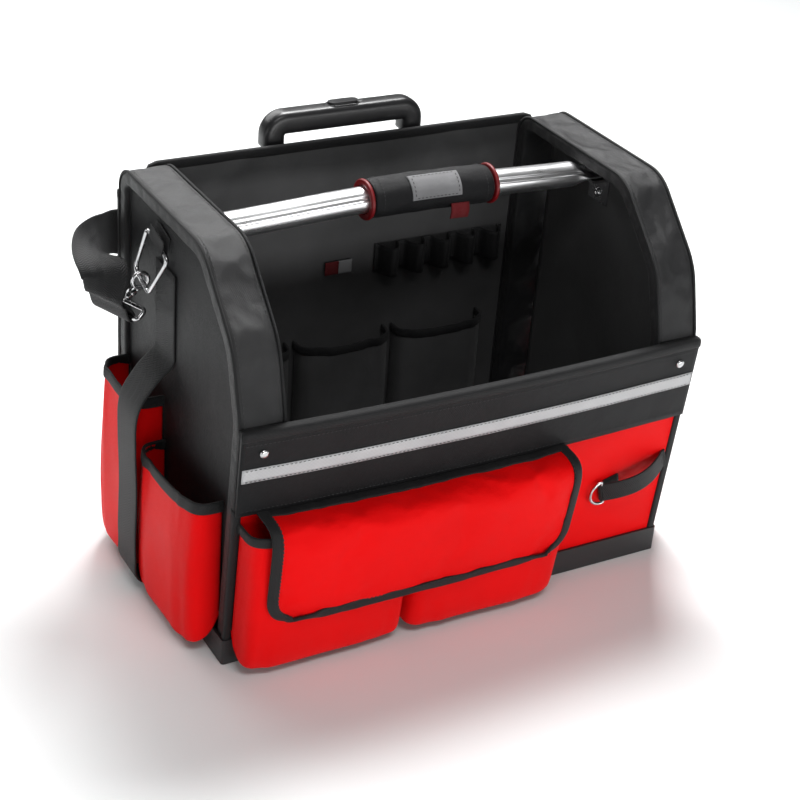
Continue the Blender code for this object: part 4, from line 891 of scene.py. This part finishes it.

# Flap, with its wide black binding down both sides and along the bottom, and at its root a black strip that
# paints the shade under the band
made = flap.build(0.0022, 1, "red_fabric")
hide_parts("front_flap")
outline = [(0.0, 1 - k / 70) for k in range(70)] + [(k / 90, 0.0) for k in range(91)]
outline += [(1.0, k / 70) for k in range(1, 71)]
spots, inward = [], []
for u, v in outline:
    point, normal = flap.at(u, v)
    step = flap.at(0.5 + (u - 0.5) * 0.955, v + 0.06 * max(0.0, 1 - v / 0.25))[0] - point
    spots.append((point + normal * 0.0002, normal))
    inward.append((step - normal * step.dot(normal)).normalized())
trim = edge_tape("front_flap_binding", spots, inward, 0.0115, 0.0021)
line = [(p + i * 0.0102 + n * 0.0016, n) for (p, n), i in zip(spots, inward)]
sewn = stitches("front_flap_stitches", [line])
# Painted shade: a black strip along the flap's top stands in for the shade under the band
root_painted_shade_strip = row_tape(flap, "front_flap_root_painted_shade_strip", 0.985, 0.93, 80, 0.012, 0.0020)
declare(made, flap)

# Walls
made = front_wall.build(0.0038, slot="red_fabric")
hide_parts("front_wall")
declare(made, front_wall)
made = lining.build(0.0018, slot="black_fabric")
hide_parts("back_wall")
top_line = [lining.at(k / 100, 1.0)[0].x for k in range(101)]
trim = ride(sweep("back_wall_binding", [(x, HALF_DEPTH - 0.0024, back_top(x) - 0.0046) for x in top_line],
                  oval(0.0034, 0.0056, 12, 0.6), BINDING), "bag", "black_fabric")
declare(made, lining)
declare(back_panel.build(PANEL_CLOTH, slot="black_fabric"), back_panel)
for label, face, cloth in panels:
    made = cloth.build(PANEL_CLOTH, slot="black_fabric")
    if face == "outside":
        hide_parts("end_panel_" + label)
    declare(made, cloth)


# Band over the top of the front, and its reflective stripe

def band_out(x, z):
    still = ease(0.0, 0.03, abs(abs(x) - 0.25))
    return 0.0007 * still * rough_at((x * 7.0, z * 3.0, 0.0), 1.3, 8.0)


def band_place(u, v):
    x, z = (u - 0.5) * 2 * HALF_LENGTH, BAND_BOTTOM + v * (FRONT_TOP - BAND_BOTTOM - 0.001)
    return on_front(x, z, GAP + 0.0050 + band_out(x, z))


def stripe_place(u, v):
    x, z = (u - 0.5) * 2 * (HALF_LENGTH - 0.002), 0.2306 + v * 0.0158
    return on_front(x, z, GAP + 0.0060 + band_out(x, z))


band = Cloth("front_band_cloth", 120, 16, band_place, BLACK)
made = band.build(0.0046, slot="black_fabric")
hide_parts("front_band")
top_line = [on_front((k / 100 - 0.5) * 2 * (HALF_LENGTH - 0.0005), FRONT_TOP - 0.0050, 0.0006)
            for k in range(101)]
top_tape = ride(sweep("front_band_binding", top_line, oval(0.0062, 0.0058, 14, 0.6), BINDING), "bag",
                "black_fabric")
sewn = stitches("front_band_stitches", [seam(band, 0.004, v, 0.996, v, 0.0003, 120) for v in (0.86, 0.06)])
declare(made, band)
stripe = Cloth("reflective_stripe_film", 120, 4, stripe_place, STRIPE)
made = stripe.build(0.0008, slot="reflective_tape")
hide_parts("reflective_stripe")
sewn = stitches("reflective_stripe_stitches",
                [seam(stripe, 0.003, v, 0.997, v, 0.0002, 120) for v in (0.09, 0.91)])
declare(made, stripe)

# Tape over the front wall's edges
for label, side in SIDES:
    for part, x, out, low, high, count, half_width, half_height in (
            ("corner", 0.2668, 0.0020, 0.024, 0.1945, 40, 0.0047, 0.0042),
            ("edge", 0.2690, 0.0021, 0.194, 0.2868, 24, 0.0013, 0.0023)):
        line = [Vector((side * x, front_y(z) + out, z)) for z in np.linspace(low, high, count)]
        ride(sweep("front_{}_tape_{}".format(part, label), line,
                   oval(half_width, half_height, 14 if part == "corner" else 12, 0.6), BINDING,
                   [Vector((0, -1, 0))] * count), "bag", "webbing")


# Linings of the front wall and of the floor

def front_lining_place(u, v):
    x, z = (0.5 - u) * 2 * 0.2185, FLOOR + 0.001 + v * (FRONT_TOP - 0.012 - FLOOR)
    return on_front(x, z, -0.0054 - 0.0005 * rough_at((x * 8.0, z * 8.0, 5.0), 1.4, 2.0))


def floor_lining_place(u, v):
    x, y = (u - 0.5) * 2 * 0.2185, (v - 0.5) * 2 * 0.139
    return (x, y, FLOOR + 0.0014 + 0.0006 * (0.5 + rough_at((x * 6.0, y * 6.0, 2.0), 1.3, 1.0)))


for name, rows, place, held, rests_on in (
        ("front_wall_lining", 28, front_lining_place, "stretched", "front_wall_cloth"),
        ("floor_lining", 30, floor_lining_place, "laid", "base_tray")):
    cloth = Cloth(name, 50, rows, place, LINING)
    declare(cloth.build(THIN_LINING, slot="black_fabric"), cloth)

# Webbing between the side pockets. A point is (out from the panel, height)
SIDE_LINE = ((0.0121, 0.004), (0.0124, 0.009), (0.0350, 0.0115), (0.0437, 0.024), (0.0437, 0.050),
             (0.0437, 0.115), (0.0437, 0.176), (0.0415, 0.222), (0.0240, 0.252), (0.0028, 0.276),
             (0.0028, 0.320), (0.0028, 0.372))
SIDE_WEB_Y = 0.026
for label, side in SIDES:
    points = []
    for p in smooth_path([(out - 0.0012, z, 0.0) for out, z in SIDE_LINE], 6):
        wave = 0.0007 * sin(p.y * 46.0 + side) * ease(0.03, 0.06, p.y) * ease(0.30, 0.27, p.y)
        points.append(on_side(side, SIDE_WEB_Y, p.y, max(p.x, 0.0014) + wave))
    made = webbing("side_webbing_strap_" + label, points, [Vector((0, 1, 0))] * len(points), WEB_WIDTH)
    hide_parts("side_webbing_" + label)
    box_stitches("side_webbing_box_" + label, on_side(side, SIDE_WEB_Y, 0.348, 0.0030), Vector((0, 1, 0)),
                 Vector((0, 0, 1)), Vector((side, 0, 0)), 0.040, 0.036)

# Carrying rings and their tabs. A corner of the ring is (y, z, radius)
RING_SPOTS = ((0.009, 0.387, 0.006), (0.063, 0.399, 0.006), (0.076, 0.351, 0.008), (0.038, 0.339, 0.008))
RING_OUT = 0.0060
ring_ends = [Vector(spot[:2]) for spot in RING_SPOTS]
tab_middle = (ring_ends[0] + ring_ends[1]) / 2
tab_run = (ring_ends[1] - ring_ends[0]).normalized()
tab_down = Vector((tab_run.y, -tab_run.x))


def ring_out(spot):
    return RING_OUT + max(0.0, (spot - tab_middle).dot(tab_down)) * 0.165


ring_start = (tab_middle.x, tab_middle.y, 0.0)
ring_line = rounded_line([ring_start, *RING_SPOTS[1:], RING_SPOTS[0], ring_start], radians(10))[:-1]
ring_loop = 0.0024 + 2 * GAP
tab_line = [(0.0013, 0.018), (0.0022, 0.010), (RING_OUT - ring_loop, 0.003)]
tab_line += [(RING_OUT - ring_loop * cos(t), -ring_loop * sin(t)) for t in np.linspace(0.0, pi, 9)]
tab_line += [(0.0078, 0.006), (0.0079, 0.0145)]
tab_path = smooth_path([(out, above, 0.0) for out, above in tab_line], 3)
for label, side in SIDES:
    points = [on_side(side, p.x, p.y, ring_out(p)) for p in ring_line]
    made = ride(round_wire("carry_ring_steel_" + label, points, 0.0024, STEEL, True, 14, 0.0016), "bag",
                "plated_steel")
    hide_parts("carry_ring_" + label)
    points = [on_side(side, *(tab_middle - tab_down * p.y), p.x) for p in tab_path]
    made = webbing("ring_tab_webbing_" + label, points, [Vector((0, *tab_run))] * len(points), 0.034, 0.0012)
    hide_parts("ring_tab_" + label)

# Snap hooks, and the shoulder strap that runs between them behind the trolley
HOOK_WIDTH = 0.014
HOOK_LOOP = 0.0085
HOOK_CORNERS = [(0.0, 0.0, 0.0), (-0.032, 0.0, 0.0045), (-0.032, HOOK_WIDTH, 0.0045),
                (0.032, HOOK_WIDTH, 0.0045), (0.032, 0.0, 0.0045), (0.0, 0.0, 0.0)]


def hook_frame(side):
    """The hook's eye on the ring, its near bar's middle, and the ways along the bar and to the far bar."""
    foot = ring_ends[2].lerp(ring_ends[3], 0.40)
    eye = on_side(side, foot.x, foot.y - 0.0030, ring_out(foot))
    near = on_side(side, 0.088, 0.311, 0.024)
    bar = Vector((side * 0.46, 0.88, 0.07)).normalized()
    away = Vector((side * 0.755, -0.352, -0.553))
    return eye, near, bar, (away - bar * away.dot(bar)).normalized()


for label, side in SIDES:
    eye, near, bar, away = hook_frame(side)
    spoke = Vector((near.x - eye.x, 0.0, near.z - eye.z)).normalized()
    upright = Vector((0, 1, 0)).cross(spoke)
    frame_line = [near + bar * p.x + away * p.y for p in rounded_line(HOOK_CORNERS, radians(10))[:-1]]
    loop_line = [eye + (spoke * cos(t) + upright * sin(t)) * HOOK_LOOP
                 for t in np.linspace(0.0, 2 * pi, 37)[:-1]]
    top = eye + spoke * HOOK_LOOP
    pieces = [
        round_wire("hook_part_frame", frame_line, 0.0024, STEEL, True, 14, 0.0015),
        round_wire("hook_part_loop", loop_line, 0.0022, STEEL, True, 14, 0.0012),
        round_wire("hook_part_shank", [top, near], 0.0031, STEEL, False, 18, 0.002),
        round_wire("hook_part_collar", [top.lerp(near, share) for share in (0.30, 0.58)], 0.0045, STEEL,
                   False, 18, 0.002),
    ]
    made = ride(joined("snap_hook_steel_" + label, pieces), "bag", "plated_steel")
    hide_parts("snap_hook_" + label)

eye, near, bar, away = hook_frame(-1)
far = near + away * HOOK_WIDTH
upright = away.cross(bar) if away.cross(bar).z > 0 else bar.cross(away)
wrap, lead = 0.00425, 0.00155
ROUTE = [(far - away * (lead + GAP) + upright * rise, bar) for rise in (0.024, 0.016)]
ROUTE += [(far - away * wrap + upright * 0.004, bar)]
ROUTE += [(far - away * wrap * cos(t) - upright * wrap * 1.04 * sin(t), bar) for t in (0.7, 1.57, 2.44)]
ROUTE += [(far + away * wrap + upright * 0.004, bar)]
ROUTE += [(far + away * lead + upright * rise, bar) for rise in (0.018, 0.028)]
ROUTE += [(Vector(place), Vector(across)) for place, across in (
    ((-0.308, 0.082, 0.345), (-0.80, 0.59, 0.06)), ((-0.309, 0.103, 0.354), (-1.0, 0.12, 0.10)),
    ((-0.304, 0.126, 0.355), (-0.85, 0.0, 0.50)), ((-0.296, 0.144, 0.352), (-0.45, 0.05, 0.90)),
    ((-0.282, 0.163, 0.348), (-0.10, 0.0, 1.0)), ((-0.2538, 0.183, 0.341), (0, 0, 1)),
    ((-0.1944, 0.196, 0.312), (0, 0, 1)), ((-0.1296, 0.196, 0.270), (0, 0, 1)),
    ((-0.0648, 0.196, 0.222), (0, 0, 1)), ((0.0, 0.196, 0.205), (0, 0, 1)))]
mirror = Vector((-1, 1, 1))
ROUTE += [(place * mirror, across * mirror) for place, across in reversed(ROUTE[:-1])]
made = webbing("shoulder_strap_webbing", smooth_path([place for place, _ in ROUTE], 5),
               smooth_path([across for _, across in ROUTE], 5), WEB_WIDTH)
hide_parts("shoulder_strap")

# Holster strap at the right of the front, with its ring. low and high are (x, z) places on the front
low, high = Vector((0.178, 0.107)), Vector((0.262, 0.131))
run_way = (high - low).normalized()
cross_way = Vector((-run_way.y, run_way.x))
loop = 0.0018 + 2 * GAP
centre_out = 0.0025 + GAP + loop
lane = [(0.024, 0.0028), (0.012, 0.0028)]
lane += [(-loop * sin(t), centre_out - loop * cos(t)) for t in np.linspace(0.0, pi, 7)]
lane += [((high - low).length * s, (centre_out + loop) * (1 - s ** 3) + GAP + 0.012 * sin(pi * s))
         for s in (0.15, 0.32, 0.50, 0.68, 0.84, 0.96, 1.0)]
points = []
for p in smooth_path([(step, out, 0.0) for step, out in lane], 4):
    points.append(on_front(*(low + run_way * p.x), max(p.y - 0.0012, 0.0014)))
across_front = on_front(*cross_way, 0.0) - on_front(0.0, 0.0, 0.0)
made = webbing("holster_strap_webbing", points, [across_front] * len(points), 0.025)
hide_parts("holster_strap")
box_stitches("holster_strap_box", on_front(0.2545, 0.1285, 0.0052), Vector((run_way.x, 0, run_way.y)),
             across_front, Vector((0, -1, 0)), 0.012, 0.019)
half = 0.0125 + 0.0018 + 5 * GAP
spots = [low - run_way * half * sin(t) + cross_way * half * cos(t) for t in np.linspace(0.0, pi, 24)]
line = [on_front(*p, centre_out) for p in spots]
made = ride(round_wire("holster_ring_steel", line, 0.0018, STEEL, True, 12, 0.0015), "bag", "plated_steel")
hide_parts("holster_ring")

# Tool loops on the back wall
LOOPS = 5
LOOP_START, LOOP_PITCH = 0.040, 0.034


def loops_place(u, v):
    share = (u * LOOPS + 1e-6) % 1.0
    arch = sin(pi * min(max((share - 0.125) / 0.75, 0.0), 1.0))
    lean = 0.0016 * rough_at((u * 9.0, v * 1.5, 1.0), 1.3, 6.0) * arch
    out = 0.0026 + 0.0196 * max(arch, 0.0) ** 0.7 + lean
    return on_back_inside(LOOP_START + u * LOOPS * LOOP_PITCH, 0.262 + v * 0.036 + lean * 0.5, out)


made = Cloth("tool_loop_webbing", 160, 8, loops_place, TAPE).build(0.0018, slot="webbing")
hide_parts("tool_loops")
rows = []
for k in range(LOOPS + 1):
    x = LOOP_START + LOOP_PITCH * k + (0.001 if k < LOOPS else -0.001)
    rows.append([(on_back_inside(x, 0.264 + 0.032 * j / 20, 0.0030), Vector((0, -1, 0))) for j in range(21)])
stitches("tool_loop_stitches", rows)

# Plain two-colour tab on the back wall
for part, start, material, slot in (("red", -0.024, RED_TAPE, "red_trim"),
                                    ("grey", -0.007, GREY_TAPE, "grey_patch")):
    def inner_tab_place(u, v, start=start):
        return on_back_inside(start + 0.017 * u, 0.269 + 0.016 * v, 0.0042)

    Cloth("inner_tab_" + part, 8, 8, inner_tab_place, material).build(0.0010, slot=slot)

# Crossbar: a drawn tube with a groove along its front and back, pressed flat where it is bolted down
BAR_Y = 0.024


def bar_middle(x):
    return 0.4145 - 0.0075 * (1 - cos(pi * x / 0.260)) / 2


def bar_flat(x):
    """0 where the bar is round, 1 where it is pressed flat."""
    return ease(0.214, 0.233, abs(x))


def on_bar(x, turn, out):
    depth, height = 0.0150 + 0.0040 * bar_flat(x), 0.0140 - 0.0106 * bar_flat(x)
    return Vector((x, BAR_Y + (depth + out) * cos(turn), bar_middle(x) + (height + out) * sin(turn)))


def degrees_from(turn, centre):
    return abs((turn * 180 / pi - centre + 180) % 360 - 180)


def bar_place(u, v):
    x, turn = 0.2594 * (2 * v - 1), 2 * pi * u
    groove = max(ease(13.0, 6.5, degrees_from(turn, centre)) for centre in (150.0, 330.0))
    return on_bar(x, turn, -0.0024 * groove * (1 - bar_flat(x)))


def grip_place(u, v):
    x, turn = -0.042 + 0.146 * v, 2 * pi * u
    round_end = sqrt(max(0.0, 1 - (1 - min(min(v, 1 - v) / 0.055, 1.0)) ** 2))
    puff = 0.0050 + 0.0021 * round_end
    puff += 0.0008 * rough_at((x * 30.0, cos(turn) * 1.2, sin(turn) * 1.2), 1.2, 3.0) * round_end
    puff -= 0.0012 * ease(7.0, 2.0, degrees_from(turn, 232.0))
    return on_bar(x, turn, puff)


def patch_place(u, v):
    edge = min(min(u, 1 - u) * 8, min(v, 1 - v) * 5, 1.0)
    out = 0.0081 + 0.0005 * edge + 0.0002 * rough_at((u * 5, v * 4, 0.0), 1.5, 2.0)
    return on_bar(0.001 + 0.060 * u, radians(104.0 + 75.0 * (1 - v)), out)


def pull_tab_place(u, v):
    point = on_bar(0.050 + 0.022 * u, pi * 1.19, 0.0072)
    return point + Vector((0.0, -0.0012 - 0.0020 * sin(pi * v), 0.002 - 0.017 * v))


made = Cloth("crossbar_tube", 96, 150, bar_place, ALLOY, wrap=True).build(0.0014, slot="aluminium")
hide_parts("crossbar")
grip = Cloth("crossbar_grip_pad", 72, 64, grip_place, BLACK, wrap=True)
made = grip.build(0.0048, 1, "grip_padding")
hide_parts("crossbar_grip")
rows = [[grip.at(k / 90, v, 0.0004) for k in range(91)] for v in (0.07, 0.93)]
rows += [[grip.at(turn / 360, 0.05 + 0.9 * k / 60, 0.0004) for k in range(61)] for turn in (226.0, 238.0)]
stitches("crossbar_grip_stitches", rows, pitch=0.004, length=0.0028)
for label, x in (("left", -0.0448), ("right", 0.1068)):
    ring = [on_bar(x, 2 * pi * k / 72, 0.0043) for k in range(72)]
    middle = Vector((x, BAR_Y, bar_middle(x)))
    made = ride(sweep("grip_trim_ring_" + label, ring, oval(0.0023, 0.0036, 14, 0.6), TRIM,
                      [(p - middle).normalized() for p in ring], closed=True), "bag", "red_trim")
    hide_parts("grip_trim_" + label)
patch = Cloth("grip_patch_cloth", 36, 30, patch_place, GREY_TAPE)
made = patch.build(0.0011, slot="grey_patch")
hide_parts("grip_patch")
stitches("grip_patch_stitches", [seam(patch, 0.06, v, 0.94, v, 0.0003, 40) for v in (0.08, 0.92)]
         + [seam(patch, u, 0.08, u, 0.92, 0.0003, 40) for u in (0.06, 0.94)])
Cloth("grip_pull_tab", 6, 14, pull_tab_place, RED_TAPE).build(0.0014, slot="red_trim")

# Rivets, bolts and screws. A row is (radius, height)
DOME = ((0.0, 0.0), (0.0050, 0.0), (0.0049, 0.0009), (0.0042, 0.0020), (0.0028, 0.0026), (0.0012, 0.0028),
        (0.0, 0.0028))
BOLT = ((0.0, 0.0), (0.0098, 0.0), (0.0098, 0.0010), (0.0076, 0.0012), (0.0076, 0.0034), (0.0066, 0.0044),
        (0.0040, 0.0046), (0.0034, 0.0028), (0.0, 0.0028))
SMALL_BOLT = [(r * 0.55, h * 0.6) for r, h in BOLT]
SCREW = [(r * 0.5, h * 0.45) for r, h in BOLT]
RIVET_X = 0.2465
for label, side in SIDES:
    x = side * RIVET_X
    place = facing(on_front(x, 0.2623, 0.0056), (0, -1, -SLOPE))
    made = spun("band_rivet_dome_" + label, DOME, place, STEEL, 28)
    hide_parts("band_rivet_" + label)
    spun("crossbar_bolt_" + label, BOLT, facing((x, BAR_Y, bar_middle(x) + 0.0034), (0, 0, 1)), STEEL, 28)
    place = facing((side * 0.2565, BAR_Y, 0.380), (-side, 0, 0))
    spun("bracket_screw_" + label, SMALL_BOLT, place, STEEL, 20)
    for number, x in enumerate((0.045, 0.105)):
        for part, shift, z in (("guide", 0.0, 0.390), ("chassis", 0.010, 0.033)):
            spun("{}_screw_{}_{}".format(part, label, number), SCREW,
                 facing((side * (x + shift), 0.1820, z), (0, 1, 0)), STEEL, 20)


# Trolley's rounded grip, with a recess for its button

def stadium(length, width, count=12):
    """Points of a slot's outline, in order."""
    spots = []
    for sense in (1, -1):
        for t in np.linspace(-pi / 2, pi / 2, count + 1):
            spots.append((sense * ((length - width) / 2 + width / 2 * cos(t)), sense * width / 2 * sin(t)))
    return spots


def cut_along(a, b, count):
    """The points between two ends, without the ends."""
    return [a.lerp(b, k / count) for k in range(1, count)]


TROLLEY_Y = 0.166
GRIP_CORNERS = [(-0.0855, 0.4262, 0.0), (-0.0855, 0.4515, 0.014), (0.0855, 0.4515, 0.014),
                (0.0855, 0.4262, 0.0)]
bends = [Vector((p.x, TROLLEY_Y, p.y)) for p in rounded_line(GRIP_CORNERS, radians(5))]
half_way = len(bends) // 2
handle_line = [bends[0], *cut_along(bends[0], bends[1], 4), *bends[1:half_way]]
handle_line += [*cut_along(bends[half_way - 1], bends[half_way], 16), *bends[half_way:-1]]
handle_line += [*cut_along(bends[-2], bends[-1], 4), bends[-1]]
runs = [direction(handle_line, i) for i in range(len(handle_line))]
shell = sweep("trolley_grip_shell", handle_line, oval(0.0124, 0.0129, 32, 0.58), SATIN,
              [Vector((-run.z, 0.0, run.x)) for run in runs])
slot_points = stadium(0.0370, 0.0130)
count = len(slot_points)
walls = [(k, (k + 1) % count, count + (k + 1) % count, count + k) for k in range(count)]
recess = [(x, TROLLEY_Y + y, z) for z in (0.4555, 0.4700) for x, y in slot_points]
cutter = make_object("button_recess_shape", recess,
                     [tuple(reversed(range(count))), tuple(range(count, 2 * count)), *walls], SATIN)
change = shell.modifiers.new("recess", "BOOLEAN")
change.operation = "DIFFERENCE"
change.solver = "EXACT"
change.object = cutter
mesh = bpy.data.meshes.new_from_object(shell.evaluated_get(bpy.context.evaluated_depsgraph_get()))
shell.modifiers.clear()
shell.data = mesh
bpy.data.objects.remove(cutter)
ride(shell, "trolley_handle", "black_plastic")
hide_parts("trolley_grip")
bezel = [Vector((x, TROLLEY_Y + y, 0.4640)) for x, y in stadium(0.0392, 0.0152)]
ride(round_wire("button_bezel", bezel, 0.0009, SATIN, True, 10, 0.0015), "trolley_handle", "black_plastic")

# Wheels: treaded tyres and spoked hubs. A row is (radius, half of the width), and the other half mirrors it
TYRE = [(0.0312, 0.0112), (0.0340, 0.0120), (0.0365, 0.0119), (0.0386, 0.0108), (0.0396, 0.0088),
        (0.0400, 0.0062), (0.0400, 0.0022), (0.0388, 0.0014)]
HUB = [(0.0048, 0.0128), (0.0086, 0.0128), (0.0094, 0.0118), (0.0098, 0.0042), (0.0140, 0.0041),
       (0.0190, 0.0041), (0.0236, 0.0041), (0.0256, 0.0048), (0.0266, 0.0116), (0.0276, 0.0120),
       (0.0298, 0.0118), (0.0300, 0.0104)]
TREAD_BLOCKS = 24
SPOKES = 6


def tread(t, r, h):
    block = (t * TREAD_BLOCKS / (2 * pi)) % 1.0
    return r - 0.0011 * ease(0.16, 0.10, min(block, 1 - block)) * ease(0.0370, 0.0392, r), h


def spokes(t, r, h):
    rib = ease(0.13, 0.07, abs((t * SPOKES / (2 * pi) + 0.5) % 1.0 - 0.5))
    if 0.0096 < r < 0.0260 and abs(h) < 0.006:
        h += (1 if h > 0 else -1) * 0.0052 * rib
    return r, h


for label, side in SIDES:
    place = facing((side * 0.218, 0.1928, 0.0403), (side, 0, 0))
    for name, node, rows, material, steps, slot, shape in (
            ("tyre_tread_", "tyre_", TYRE, RUBBER, 144, "tyre_rubber", tread),
            ("wheel_hub_spoked_", "wheel_hub_", HUB, SATIN, 96, "hub_plastic", spokes)):
        rows = rows + [(r, -h) for r, h in reversed(rows)]
        made = spun(name + label, rows, place, material, steps, "wheel_" + label, slot, shape, ring=True)
        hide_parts(node + label)
